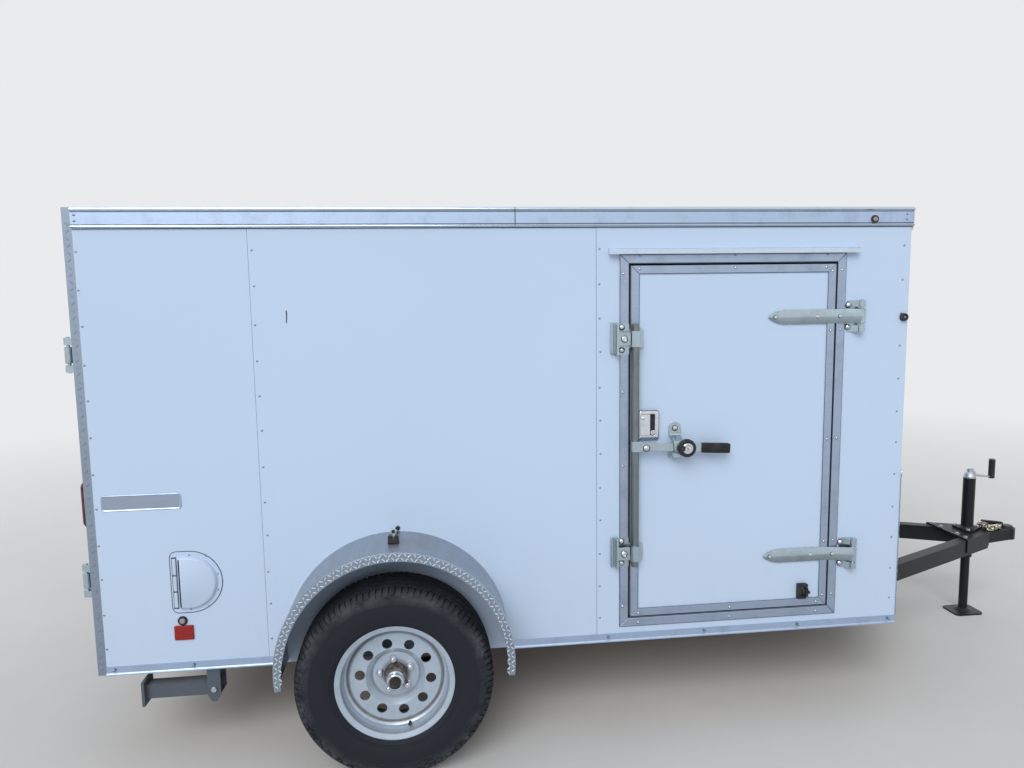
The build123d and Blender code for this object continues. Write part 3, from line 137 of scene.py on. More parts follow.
class Graph:
    """The shader nodes of one material, or of the sky."""

    def __init__(self, owner: Material | World) -> None:
        """Starts with the owner's one shader.

        Args:
            owner: the material or the world that the nodes belong to.
        """
        owner.use_nodes = True
        self.tree = owner.node_tree
        self.shader = self.tree.nodes.get("Principled BSDF") or self.tree.nodes["Background"]
        self.texture = self.node("TexCoord")
        self.coordinates = self.value(self.texture.outputs["Object"])

    def value(self, socket: NodeSocket) -> Value:
        """The value that a socket gives."""
        return Value(self, socket)

    def node(self, kind: str, settings: dict[str, object] | None = None, **inputs: object) -> Node:
        """Adds a node.

        Args:
            kind: the node's type name after "ShaderNode".
            settings: values of its own fields.
            inputs: what its sockets take, by their names.

        Returns:
            The new node.
        """
        made = self.tree.nodes.new(f"ShaderNode{kind}")
        for key, value in (settings or {}).items():
            setattr(made, key, value)
        for key, value in inputs.items():
            self.feed(made.inputs[key], value)
        return made

    def feed(self, socket: NodeSocket, value: object) -> None:
        """Links a socket to a value, or sets it to a constant.

        Args:
            socket: the socket.
            value: a value, a socket, a number, a triple or a colour.
        """
        if isinstance(value, Value):
            value = value.socket
        if isinstance(value, NodeSocket):
            self.tree.links.new(value, socket)
        elif isinstance(value, tuple) and len(value) == 3 and socket.type == "RGBA":
            socket.default_value = (*value, 1.0)
        else:
            socket.default_value = value

    def set(self, **values: object) -> None:
        """Feeds the shader's sockets, named in lower case with underscores."""
        for key, value in values.items():
            self.feed(self.shader.inputs[key.replace("_", " ").title().replace("Ior", "IOR")], value)

    def math(self, operation: str, first: object, second: object = 0.0) -> Value:
        """Works out one sum.

        Args:
            operation: the Math node's operation.
            first: a value or a number.
            second: a value or a number.

        Returns:
            The result.
        """
        made = self.node("Math", {"operation": operation})
        self.feed(made.inputs[0], first)
        self.feed(made.inputs[1], second)
        return self.value(made.outputs[0])

    def stretched(self, scale: Triple) -> Value:
        """The coordinates, scaled along each axis."""
        return self.value(self.node("Mapping", Vector=self.coordinates, Scale=scale).outputs[0])

    def noise(self, scale: float, detail: float = 3.0, roughness: float = 0.5, at: Value | None = None) -> Value:
        """A noise field.

        Args:
            scale: the noise's scale for each metre.
            detail: its octaves.
            roughness: how much each octave weighs.
            at: the coordinates, or None for the piece's own.

        Returns:
            The noise, from 0 to 1.
        """
        made = self.node("TexNoise", Vector=at or self.coordinates, Scale=scale, Detail=detail, Roughness=roughness)
        return self.value(made.outputs["Fac"])

    def ramp(self, value: Value, *stops: tuple[float, Colour | float]) -> Value:
        """Turns a value into a colour or a grey.

        Args:
            value: the value.
            stops: pairs of place and colour, or of place and grey.

        Returns:
            The colour.
        """
        made = self.node("ValToRGB", Fac=value)
        elements = made.color_ramp.elements
        while len(elements) < len(stops):
            elements.new(0.5)
        for element, (place, shade) in zip(elements, stops):
            element.position = place
            element.color = (*shade, 1.0) if isinstance(shade, tuple) else (shade, shade, shade, 1.0)
        return self.value(made.outputs[0])

    def mix(self, factor: object, first: object, second: object) -> Value:
        """Mixes two colours.

        Args:
            factor: the second colour's share.
            first: the first colour.
            second: the second colour.

        Returns:
            The mixed colour.
        """
        made = self.node("Mix", {"data_type": "RGBA"})
        for index, value in ((0, factor), (6, first), (7, second)):
            self.feed(made.inputs[index], value)
        return self.value(made.outputs[2])

    def axis(self, letter: str) -> Value:
        """One coordinate, X, Y or Z, of the place on the piece."""
        return self.value(self.node("SeparateXYZ", Vector=self.coordinates).outputs[letter])

    def facing(self, letter: str) -> Value:
        """How far the surface faces along X, Y or Z, from -1 to 1."""
        normal = self.node("NewGeometry").outputs["Normal"]
        return self.value(self.node("SeparateXYZ", Vector=normal).outputs[letter])

    def distance(self, first: Value, second: Value) -> Value:
        """The length of a slope with those two legs."""
        return self.math("SQRT", first * first + second * second)

    def radius(self, centre: Triple) -> Value:
        """The distance from a wheel's axis, which runs along Y through centre."""
        return self.distance(self.axis("X") - centre[0], self.axis("Z") - centre[2])

    def bump(self, height: Value, depth: float, strength: float = 1.0) -> None:
        """Adds a relief to the shader's normal, over any that is there.

        Args:
            height: the relief's form.
            depth: how deep it is.
            strength: how much of it shows.
        """
        made = self.node("Bump", Height=height, Distance=depth, Strength=strength)
        normal = self.shader.inputs["Normal"]
        if normal.is_linked:
            self.feed(made.inputs["Normal"], normal.links[0].from_socket)
        self.feed(normal, made.outputs[0])

    def base(self) -> Value:
        """The shader's colour so far."""
        return self.value(self.shader.inputs["Base Color"].links[0].from_socket)

    def seen(self) -> Value:
        """Tells the rays that are looked along from the light's.

        Returns:
            1 for the rays of the camera, of mirrors and of glass, and 0 for the others.
        """
        rays = self.node("LightPath").outputs
        mirrored = self.math("MAXIMUM", rays["Is Camera Ray"], rays["Is Glossy Ray"])
        return self.math("MAXIMUM", mirrored, rays["Is Transmission Ray"])

    def show(self, factor: Value, second: Node) -> None:
        """Mixes a second shader into the first, and shows the result.

        Args:
            factor: the second shader's share.
            second: the second shader.
        """
        made = self.node("MixShader")
        for socket, value in zip(made.inputs, (factor, self.shader.outputs[0], second.outputs[0])):
            self.feed(socket, value)
        ends = [node for node in self.tree.nodes if "Surface" in node.inputs]
        self.feed(ends[0].inputs["Surface"], made.outputs[0])


def shaded(colour: Colour, share: float) -> Colour:
    """A colour made darker or paler by a share."""
    return tuple(share * part for part in colour)


@dataclass(frozen=True)
class Finish:
    """A surface finish, made into one material the first time that it is used."""

    name: str
    colour: Colour

    def material(self) -> Material:
        """The finish's material.

        Returns:
            The material, made now if it isn't there yet.
        """
        named = f"{self.name}_finish"
        made = bpy.data.materials.get(named)
        if made is None:
            made = bpy.data.materials.new(named)
            self.dress(Graph(made))
        return made

    def dress(self, graph: Graph) -> None:
        """Adds the finish's nodes to a graph."""
        raise NotImplementedError


@dataclass(frozen=True)
class Enamel(Finish):
    """Baked white enamel on thin sheet, a little wavy, dusty low down."""

    roughness: float = 0.34
    waviness: float = 0.0035
    dust: Colour = (0.42, 0.41, 0.42)
    dust_low: float = 0.30
    dust_high: float = 1.15
    dust_share: float = 0.22

    def dress(self, graph: Graph) -> None:
        """Adds the enamel's tone, its film of dust with specks, and its waves.

        Args:
            graph: the graph of the finish's material.
        """
        low = ((self.dust_high - graph.axis("Z")) / (self.dust_high - self.dust_low)).held()
        streaks = graph.noise(3.0, 5.0, 0.65, graph.stretched((4.0, 4.0, 0.7)))
        specks = graph.ramp(graph.noise(95.0, 4.0, 0.7), (0.60, 0.0), (0.74, 1.0))
        grime = ((low ** 1.6 * streaks + specks * (low * 0.8)) * self.dust_share).held()
        tone = graph.mix(graph.noise(0.9, 3.0), self.colour, shaded(self.colour, 0.93))
        graph.set(base_color=graph.mix(grime, tone, self.dust), specular_ior_level=0.5, coat_weight=0.25,
                  coat_roughness=0.12, roughness=self.roughness + grime * 0.5)
        graph.bump(graph.noise(2.6, 2.0), self.waviness, 0.5)
        graph.bump(graph.noise(420.0, 2.0), 0.00012, 0.35)


@dataclass(frozen=True)
class LinedEnamel(Enamel):
    """Enamelled sheet that is plywood on its inner face."""

    half_width: float = 0.757
    lining: Colour = (0.50, 0.36, 0.21)

    def inner(self, graph: Graph) -> Value:
        """Says where the plywood shows: nearer the middle than the sheet."""
        return graph.math("LESS_THAN", abs(graph.axis("Y")), self.half_width)

    def dress(self, graph: Graph) -> None:
        """Adds the enamel, then the plywood on the inner face.

        Args:
            graph: the graph of the finish's material.
        """
        super().dress(graph)
        grain = graph.noise(2.2, 6.0, 0.62, graph.stretched((1.0, 1.0, 14.0)))
        wood = graph.ramp(grain, (0.30, self.lining), (0.72, shaded(self.lining, 0.62)))
        graph.set(base_color=graph.mix(self.inner(graph), graph.base(), wood), coat_weight=0.0)


@dataclass(frozen=True)
class NoseEnamel(LinedEnamel):
    """The nose's enamelled sheet, whose plywood face looks back into the load space."""

    def inner(self, graph: Graph) -> Value:
        """Says where the plywood shows: on what faces back."""
        return graph.math("LESS_THAN", graph.facing("X"), 0.0)


@dataclass(frozen=True)
class BrightMetal(Finish):
    """Aluminium or plated steel, with drawn lines, stains and small dents."""

    roughness: float = 0.30
    spread: float = 0.22
    drawn: Triple = (1.0, 30.0, 30.0)
    stain: Colour = (0.30, 0.30, 0.31)
    stain_share: float = 0.35
    stain_scale: float = 14.0
    relief: float = 0.0004
    underside_shade: float = 0.45

    def dress(self, graph: Graph) -> None:
        """Adds the drawn lines, the stains, and a painted shade on what faces down, standing in for the ground's dark
        reflection.

        Args:
            graph: the graph of the finish's material.
        """
        lines = graph.noise(9.0, 5.0, 0.6, graph.stretched(self.drawn))
        # painted shade: faces that point down are darkened, as if they mirrored the dark ground
        dust_film_and_underside_shade = ((0.0 - graph.facing("Z")) * 3.0).held()
        stains = graph.ramp(graph.noise(self.stain_scale, 6.0, 0.62), (0.50, 0.0), (0.78, 1.0)) * self.stain_share
        shade = graph.mix(lines, self.colour, shaded(self.colour, 0.80))
        shade = graph.mix(dust_film_and_underside_shade * self.underside_shade, shade, shaded(self.colour, 0.25))
        graph.set(base_color=graph.mix(stains, shade, self.stain), metallic=1.0,
                  roughness=self.roughness + (lines + stains) * self.spread)
        graph.bump(graph.noise(22.0, 3.0), self.relief, 0.45)
        graph.bump(lines, 0.00006, 0.4)


@dataclass(frozen=True)
class RustedMetal(Finish):
    """Plain steel with rust in patches."""

    rust: Colour = (0.17, 0.075, 0.035)
    rust_share: float = 0.55
    scale: float = 38.0

    def dress(self, graph: Graph) -> None:
        """Adds the patches of rust, rough and raised.

        Args:
            graph: the graph of the finish's material.
        """
        patches = graph.ramp(graph.noise(self.scale, 7.0, 0.66), (0.62 - 0.35 * self.rust_share, 0.0),
                             (0.74 - 0.25 * self.rust_share, 1.0))
        fine = graph.noise(260.0, 4.0, 0.6)
        rust = graph.mix(fine, self.rust, shaded(self.rust, 0.5))
        graph.set(base_color=graph.mix(patches, self.colour, rust), metallic=0.85 - patches * 0.8,
                  roughness=0.42 + patches * 0.42)
        graph.bump(patches * fine, 0.0006, 0.6)


@dataclass(frozen=True)
class BlackEnamel(Finish):
    """Sprayed black paint on steel, with dust on what faces up and rust at chips."""

    dust: Colour = (0.20, 0.19, 0.18)
    dust_share: float = 0.35
    rust: Colour = (0.16, 0.065, 0.03)
    roughness: float = 0.38

    def dress(self, graph: Graph) -> None:
        """Adds the film of dust and the rusted chips.

        Args:
            graph: the graph of the finish's material.
        """
        top = graph.math("MAXIMUM", graph.facing("Z"), 0.12)
        dust_film_and_underside_shade = (top * graph.noise(11.0, 6.0, 0.7) * self.dust_share).held()
        chips = graph.ramp(graph.noise(46.0, 5.0, 0.72), (0.685, 0.0), (0.72, 1.0))
        graph.set(base_color=graph.mix(chips, graph.mix(dust_film_and_underside_shade, self.colour, self.dust), self.rust),
                  specular_ior_level=0.3, roughness=(self.roughness + dust_film_and_underside_shade * 1.1).held())
        graph.bump(graph.noise(150.0, 3.0), 0.0003, 0.4)
        graph.bump(chips, -0.0003, 0.5)


@dataclass(frozen=True)
class Rubber(Finish):
    """Black rubber, greyed in patches."""

    worn: Colour = (0.075, 0.078, 0.085)
    roughness: float = 0.62
    scale: float = 30.0

    def dress(self, graph: Graph) -> None:
        """Adds the worn patches and a fine grain.

        Args:
            graph: the graph of the finish's material.
        """
        patches = graph.noise(self.scale, 6.0, 0.66)
        graph.set(base_color=graph.mix(graph.ramp(patches, (0.42, 0.0), (0.72, 1.0)), self.colour, self.worn),
                  roughness=self.roughness + patches * 0.2, specular_ior_level=0.35)
        graph.bump(graph.noise(420.0, 3.0), 0.00025, 0.5)


@dataclass(frozen=True)
class TyreRubber(Rubber):
    """Tyre rubber with a pale scuffed ring high on the wall."""

    centre: Triple = (0.0, 0.0, 0.0)
    worn: Colour = (0.009, 0.012, 0.018)
    scuff: Colour = (0.105, 0.115, 0.130)
    scuff_radius: float = 0.318
    scuff_width: float = 0.034
    scuff_share: float = 0.62

    def dress(self, graph: Graph) -> None:
        """Adds the rubber, then the broken ring of scuffs.

        Args:
            graph: the graph of the finish's material.
        """
        super().dress(graph)
        away = abs(graph.radius(self.centre) - self.scuff_radius) / self.scuff_width
        rough = graph.ramp(graph.noise(17.0, 7.0, 0.74), (0.40, 0.0), (0.68, 1.0))
        scuffs = ((1.0 - away).held() * rough).held()
        graph.set(base_color=graph.mix(scuffs * self.scuff_share, graph.base(), self.scuff))


@dataclass(frozen=True)
class WheelPaint(Finish):
    """Silver paint on a pressed wheel, with blotches of road dirt, and painted shade mixed with dirt in its creases.

    Each crease is a radius, a width and how dark its shade and dirt are.
    """

    centre: Triple = (0.0, 0.0, 0.0)
    dirt_and_crease_shade: Colour = (0.16, 0.15, 0.145)
    creases: tuple[Triple, ...] = ((0.167, 0.0065, 1.3), (0.186, 0.004, 0.6), (0.084, 0.007, 0.5),
                                   (0.045, 0.012, 0.7))

    def dress(self, graph: Graph) -> None:
        """Adds the flake, the blotches of dirt, and rings of painted shade mixed with dirt in the creases.

        Args:
            graph: the graph of the finish's material.
        """
        radius = graph.radius(self.centre)
        blotches = graph.noise(26.0, 6.0, 0.68)
        dirt_and_crease_shade = graph.ramp(blotches, (0.45, 0.0), (0.75, 1.0)) * 0.25
        # painted shade: each ring darkens a crease as if shade lay in it, mixed with dirt
        for middle, width, share in self.creases:
            ring = (1.0 - abs(radius - middle) / width).held() * share
            dirt_and_crease_shade = graph.math("MAXIMUM", dirt_and_crease_shade, ring * (blotches + 0.45))
        flake = graph.mix(graph.noise(700.0, 2.0), self.colour, shaded(self.colour, 0.86))
        graph.set(base_color=graph.mix((dirt_and_crease_shade * 1.0).held(), flake, self.dirt_and_crease_shade), metallic=0.35,
                  roughness=0.33 + dirt_and_crease_shade * 0.4, coat_weight=0.3, coat_roughness=0.2)
        graph.bump(graph.noise(320.0, 3.0), 0.00015, 0.4)


@dataclass(frozen=True)
class Lens(Finish):
    """Moulded lens plastic over a grid of small prisms."""

    pitch: float = 0.004
    glow: float = 0.35

    def dress(self, graph: Graph) -> None:
        """Adds the grid, and a slow change of tone across it.

        Args:
            graph: the graph of the finish's material.
        """
        grid = graph.value(graph.node("TexChecker", Vector=graph.coordinates, Scale=1.0 / self.pitch).outputs["Fac"])
        fade = graph.noise(60.0, 4.0)
        graph.set(base_color=graph.mix((grid + fade) * 0.45, self.colour, shaded(self.colour, self.glow)),
                  roughness=0.24 + fade * 0.16, coat_weight=0.25, coat_roughness=0.10, specular_ior_level=0.4)
        graph.bump(grid, 0.0004, 0.5)


@dataclass(frozen=True)
class Wood(Finish):
    """Plywood with a long grain."""

    grain: Triple = (1.0, 14.0, 14.0)
    pale: float = 1.15
    dark: float = 0.55

    def dress(self, graph: Graph) -> None:
        """Adds the grain, from pale to dark.

        Args:
            graph: the graph of the finish's material.
        """
        figure = graph.noise(2.6, 7.0, 0.64, graph.stretched(self.grain))
        graph.set(base_color=graph.ramp(figure, (0.28, shaded(self.colour, self.pale)), (0.52, self.colour),
                                        (0.74, shaded(self.colour, self.dark))),
                  roughness=0.58 + figure * 0.2)
        graph.bump(figure, 0.0006, 0.4)


@dataclass(frozen=True)
class Plate(Finish):
    """The satin face of a blank badge."""

    roughness: float = 0.3

    def dress(self, graph: Graph) -> None:
        """Adds a satin sheen and a fine grain.

        Args:
            graph: the graph of the finish's material.
        """
        sheen = graph.noise(14.0, 4.0)
        graph.set(base_color=graph.mix(sheen, self.colour, shaded(self.colour, 0.86)), metallic=0.55,
                  roughness=self.roughness + sheen * 0.15)
        graph.bump(graph.noise(240.0, 2.0), 0.0001, 0.4)


class Finishes:
    """The finishes of this trailer."""

    # white enamel with the blue cast of sky light painted into its colour
    WHITE = (0.57, 0.715, 0.93)
    ENAMEL = Enamel("white_enamel", WHITE)
    WALL = LinedEnamel("white_enamel_on_ply", WHITE)
    NOSE = NoseEnamel("white_enamel_on_nose_ply", WHITE)
    ROOF = BrightMetal("roof_aluminium", (0.62, 0.70, 0.82), roughness=0.38, drawn=(0.4, 12.0, 12.0), relief=0.0012)
    TRIM = BrightMetal("trim_aluminium", (0.54, 0.68, 0.90), roughness=0.27, stain=(0.20, 0.23, 0.30))
    # a paler copy of the trim aluminium: painted highlight on the beads, caps and strips that catch the light
    BEADING = BrightMetal("bright_beading", (0.74, 0.86, 1.0), roughness=0.16, spread=0.12, stain_share=0.2)
    TREAD = BrightMetal("tread_plate", (0.34, 0.41, 0.51), roughness=0.34, drawn=(6.0, 6.0, 6.0),
                        stain=(0.16, 0.19, 0.23), stain_share=0.3, stain_scale=5.0)
    LUG = BrightMetal("tread_plate_lugs", (0.80, 0.90, 1.0), roughness=0.17, spread=0.12, stain_share=0.2)
    FENDER = BrightMetal("fender_aluminium", (0.44, 0.475, 0.52), roughness=0.36, drawn=(5.0, 0.6, 5.0),
                         stain=(0.36, 0.32, 0.27), stain_share=0.45, stain_scale=5.0)
    MOULDING = BrightMetal("door_moulding", (0.46, 0.56, 0.73), roughness=0.27, stain=(0.16, 0.18, 0.22))
    # the darker base and the stretched dark streaks are partly painted reflection of dark surroundings on the plated
    # straps, partly real stains
    ZINC = BrightMetal("zinc_plate", (0.53, 0.64, 0.71), roughness=0.20, spread=0.16, drawn=(12.0, 12.0, 3.0),
                       stain=(0.15, 0.18, 0.19), stain_share=0.42, stain_scale=16.0, relief=0.0003, underside_shade=0.85)
    BAR = BrightMetal("bar_zinc", (0.25, 0.29, 0.30), roughness=0.24, drawn=(24.0, 24.0, 1.0),
                      stain=(0.12, 0.12, 0.10), stain_share=0.5, stain_scale=12.0)
    GALVANISED = BrightMetal("galvanised_jack_parts", (0.60, 0.64, 0.70), roughness=0.36, drawn=(8.0, 8.0, 8.0),
                             stain=(0.22, 0.20, 0.18), stain_share=0.5, stain_scale=40.0)
    CHROME = BrightMetal("chrome", (0.80, 0.84, 0.90), roughness=0.08, spread=0.10, drawn=(3.0, 3.0, 3.0),
                         stain=(0.25, 0.24, 0.24), stain_share=0.25, stain_scale=60.0, relief=0.0001)
    # darker than the bare metal: painted shade and reflection on the small rivet and screw heads
    FIXING = BrightMetal("fixing_heads", (0.33, 0.40, 0.50), roughness=0.30, drawn=(3.0, 3.0, 3.0), stain_share=0.3)
    CHAIN = BrightMetal("chain_plate", (0.62, 0.58, 0.48), roughness=0.30, drawn=(9.0, 9.0, 9.0),
                        stain=(0.16, 0.10, 0.05), stain_share=0.7, stain_scale=70.0)
    BLACK = BlackEnamel("black_frame_paint", (0.006, 0.007, 0.010), dust_share=0.16, roughness=0.30)
    LEG = BlackEnamel("faded_leg_paint", (0.085, 0.100, 0.125), dust=(0.26, 0.29, 0.34), dust_share=0.9)
    AXLE = BlackEnamel("axle_paint", (0.020, 0.020, 0.021), dust_share=0.6)
    SPRING = RustedMetal("spring_steel", (0.09, 0.085, 0.085), rust_share=0.75)
    HUB = RustedMetal("hub_steel", (0.19, 0.185, 0.18), rust=(0.085, 0.055, 0.04), rust_share=0.55, scale=60.0)
    GAP = Rubber("dark_gasket", (0.012, 0.013, 0.016), worn=(0.03, 0.031, 0.034))
    # dark joints, and painted shade: thin dark strips, rings and outlines that stand in for shadow lines at seams,
    # gaps, rivets and trims
    SHADE = Rubber("dark_joint_and_painted_shade", (0.045, 0.060, 0.095), worn=(0.07, 0.09, 0.13), roughness=0.5)
    BLACK_PLASTIC = Rubber("black_plastic", (0.014, 0.014, 0.016), worn=(0.04, 0.04, 0.042), roughness=0.38)
    RUBBER = Rubber("black_rubber", (0.020, 0.021, 0.024))
    # the vent's white carries the same painted blue cast of sky light
    VENT = Enamel("vent_enamel", (0.56, 0.705, 0.92), roughness=0.42, waviness=0.0006, dust_share=0.35)
    FLOOR = Wood("floor_plywood", (0.42, 0.28, 0.15))
    RED = Lens("red_lens", (0.42, 0.006, 0.006))
    CLEAR = Lens("clear_lens", (0.50, 0.45, 0.45))
    SMOKED = Lens("smoked_lens", (0.02, 0.018, 0.02))
    BADGE = Plate("badge_silver", (0.36, 0.43, 0.55))


@dataclass(frozen=True)
class Coat:
    """Which finish goes on which nodes."""

    finish: Finish
    nodes: tuple[str, ...]

    def apply(self) -> None:
        """Gives the nodes their finish."""
        for name in self.nodes:
            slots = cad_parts[name].data.materials
            slots.clear()
            slots.append(self.finish.material())
            LOG.info("%s: %s", name, self.finish.name)


class Shape:
    """A mesh gathered from many small solids and made into one piece."""

    def __init__(self, finish: Finish) -> None:
        """Starts an empty mesh.

        Args:
            finish: the finish of what is added first.
        """
        self.mesh = bmesh.new()
        self.finishes: list[Finish] = [finish]
        self.now = 0

    def use(self, finish: Finish) -> "Shape":
        """Gives what is added after this that finish.

        Args:
            finish: the finish.

        Returns:
            The shape itself.
        """
        if finish not in self.finishes:
            self.finishes.append(finish)
        self.now = self.finishes.index(finish)
        return self

    def face(self, corners: Sequence[bmesh.types.BMVert]) -> None:
        """Adds one face, unless its corners are fewer than three.

        Args:
            corners: the face's corners in turn.
        """
        kept = list(dict.fromkeys(corners))
        if len(kept) > 2:
            self.mesh.faces.new(kept).material_index = self.now

    def ring(self, place: Matrix, points: Iterable[Triple]) -> list[bmesh.types.BMVert]:
        """Adds points, given in place's own axes."""
        return [self.mesh.verts.new(place @ Vector(point)) for point in points]

    def skin(self, rings: Sequence[Sequence[bmesh.types.BMVert]], caps: bool = True, looped: bool = False) -> None:
        """Joins rings of points with faces.

        Args:
            rings: the rings, each with as many points, or one point at a tip.
            caps: closes the first and last ring with a face.
            looped: joins the last ring to the first, with no caps.
        """
        if looped:
            rings = [*rings, rings[0]]
        for low, high in zip(rings, rings[1:]):
            count = max(len(low), len(high))
            for index in range(count):
                after = (index + 1) % count
                self.face([low[index % len(low)], low[after % len(low)],
                           high[after % len(high)], high[index % len(high)]])
        if caps and not looped:
            self.face(rings[0])
            self.face(rings[-1])

    def lathe(self, place: Matrix, profile: Sequence[Point], steps: int = 24, looped: bool = False) -> None:
        """Turns a profile about place's Z axis.

        Args:
            place: where the axis stands.
            profile: pairs of radius and height.
            steps: how many sides a turn has.
            looped: the profile is a closed loop.
        """
        rings = []
        for radius, height in profile:
            count = 1 if radius <= 0.0 else steps
            rings.append(self.ring(place, [(across, up, height) for across, up in arc(radius, count)]))
        self.skin(rings, looped=looped)

    def knob(self, place: Matrix, profile: Sequence[Point], steps: int = 24) -> None:
        """Turns a profile that is closed on the axis, with a flat foot and a flat crown.

        Args:
            place: where the axis stands.
            profile: pairs of radius and height.
            steps: how many sides a turn has.
        """
        self.lathe(place, [(0.0, profile[0][1]), *profile, (0.0, profile[-1][1])], steps)

    def washer(self, place: Matrix, radius: float, low: float, rim: float, crown: float, steps: int) -> None:
        """Adds a low disc, a little higher in its middle.

        Args:
            place: its seat.
            radius: its radius.
            low: the height of its foot.
            rim: the height of its rim.
            crown: the height of its middle.
            steps: how many sides it has.
        """
        self.lathe(place, [(0.0, low), (radius, low), (radius, rim), (0.0, crown)], steps)

    def stack(self, place: Matrix, outline: Sequence[Point], levels: Sequence[Point], caps: bool = True,
              looped: bool = False) -> None:
        """Raises an outline through some levels, drawn in or out at each.

        Args:
            place: the outline's plane.
            outline: the outline's corners.
            levels: pairs of how far the outline is drawn in, and the height.
            caps: closes the first and last level.
            looped: joins the last level to the first.
        """
        self.skin([self.ring(place, [(across, up, height) for across, up in inset(outline, away)])
                   for away, height in levels], caps, looped)

    def prism(self, place: Matrix, outline: Sequence[Point], low: float, high: float, edge: float = 0.0) -> None:
        """Raises an outline along place's Z axis, with its top edge chamfered.

        Args:
            place: the outline's plane.
            outline: the outline's corners.
            low: the height where it starts.
            high: the height where it ends.
            edge: the chamfer's width.
        """
        shoulder = [(0.0, high - edge)] if edge > 0.0 else []
        self.stack(place, outline, [(0.0, low), *shoulder, (edge, high)])

    def tube(self, path: Sequence[Vector], radius: float, steps: int = 10, looped: bool = False) -> None:
        """Sweeps a circle along a path.

        Args:
            path: the points of its middle line.
            radius: the circle's radius.
            steps: how many sides the circle has.
            looped: the path is a loop.
        """
        count = len(path)
        rings = []
        side = None
        for index, point in enumerate(path):
            ahead = path[(index + 1) % count] if looped or index + 1 < count else point
            behind = path[index - 1] if looped or index else point
            along = (ahead - behind).normalized()
            side = along.orthogonal() if side is None else side - along * side.dot(along)
            side.normalize()
            other = along.cross(side)
            rings.append([self.mesh.verts.new(point + across * side + up * other) for across, up in arc(radius, steps)])
        if looped:
            last = min(range(steps), key=lambda step: (rings[0][step].co - rings[-1][0].co).length)
            rings.append(rings[0][last:] + rings[0][:last])
        self.skin(rings, caps=not looped)

    def make(self, name: str, slot: str, body: Body = Body.TRAILER, smooth: float = 32.0,
             stands_for: Sequence[str] = ()) -> Object:
        """Turns what was gathered into one piece of the trailer.

        Args:
            name: the piece's name.
            slot: the name of a material slot; it is not used.
            body: what it moves with.
            smooth: edges that turn by fewer degrees look rounded.
            stands_for: nodes that it is shown instead of.

        Returns:
            The piece.
        """
        bmesh.ops.recalc_face_normals(self.mesh, faces=self.mesh.faces)
        data = bpy.data.meshes.new(name)
        self.mesh.to_mesh(data)
        triangles = sum(len(face.verts) - 2 for face in self.mesh.faces)
        self.mesh.free()
        for finish in self.finishes:
            data.materials.append(finish.material())
        piece = bpy.data.objects.new(name, data)
        bpy.context.scene.collection.objects.link(piece)
        data.shade_smooth()
        data.set_sharp_from_angle(angle=math.radians(smooth))
        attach(piece, body.value)
        if stands_for:
            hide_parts(*stands_for)
        LOG.info("%s: %d triangles, on %s", name, triangles, body.value)
        return piece


def inset(outline: Sequence[Point], distance: float) -> list[Point]:
    """Draws an outline in by a distance, whichever way it runs round.

    Args:
        outline: the outline's corners.
        distance: how far each edge moves in.

    Returns:
        The smaller outline's corners.
    """
    if distance == 0.0:
        return list(outline)
    count = len(outline)
    area = sum(outline[index - 1][0] * outline[index][1] - outline[index][0] * outline[index - 1][1]
               for index in range(count))
    way = 1.0 if area > 0.0 else -1.0
    drawn = []
    for index in range(count):
        here = Vector(outline[index])
        before = (here - Vector(outline[index - 1])).normalized()
        after = (Vector(outline[(index + 1) % count]) - here).normalized()
        inward = Vector((-before.y - after.y, before.x + after.x)) * way
        square = inward.length_squared
        drawn.append(tuple(here + inward * (2.0 * distance / square if square > 1e-9 else 0.0)))
    return drawn


def arc(radius: float, steps: int, start: float = 0.0, turn: float = 2.0 * math.pi) -> list[Point]:
    """Points on a circle about the origin.

    Args:
        radius: the circle's radius.
        steps: how many parts the turn has.
        start: the first point's angle.
        turn: the angle from the first point to the one after the last.

    Returns:
        One point for each part.
    """
    return [(radius * math.cos(start + turn * step / steps), radius * math.sin(start + turn * step / steps))
            for step in range(steps)]


def bend(radius: float, angles: Iterable[float], middle: Point = (0.0, 0.0)) -> list[Point]:
    """Points at a radius about a middle, one for each angle."""
    return [(middle[0] + radius * math.cos(angle), middle[1] + radius * math.sin(angle)) for angle in angles]


def rounded(width: float, height: float, radius: float, steps: int = 4) -> list[Point]:
    """The outline of a rounded rectangle about the origin.

    Args:
        width: its width.
        height: its height.
        radius: its corners' radius.
        steps: how many parts each corner has.

    Returns:
        The outline's corners.
    """
    points = []
    for quarter, (across, up) in enumerate(((1, 1), (-1, 1), (-1, -1), (1, -1))):
        angles = [math.radians(90.0 * (quarter + step / steps)) for step in range(steps + 1)]
        points += bend(radius, angles, (across * (width / 2 - radius), up * (height / 2 - radius)))
    return points


def oblong(left: float, bottom: float, right: float, top: float) -> list[Point]:
    """The corners of a rectangle with those edges."""
    return [(left, bottom), (right, bottom), (right, top), (left, top)]


def upright_bar(half: float, tall: float) -> list[Point]:
    """The corners of a thin bar about the origin, from half its width and half its height."""
    return oblong(-half, -tall, half, tall)


def facing(origin: Vector, across: Vector, up: Vector) -> Matrix:
    """A plane at origin whose own axes are across, up and outward."""
    outward = across.cross(up)
    return Matrix.Translation(origin) @ Matrix((across, up, outward)).transposed().to_4x4()


def shifted(place: Matrix, across: float, up: float, out: float = 0.0) -> Matrix:
    """A place moved along its own axes."""
    return place @ Matrix.Translation((across, up, out))


def turned(place: Matrix, angle: float, axis: str = "Z") -> Matrix:
    """A place turned by an angle in radians about one of its own axes."""
    return place @ Matrix.Rotation(angle, 4, axis)


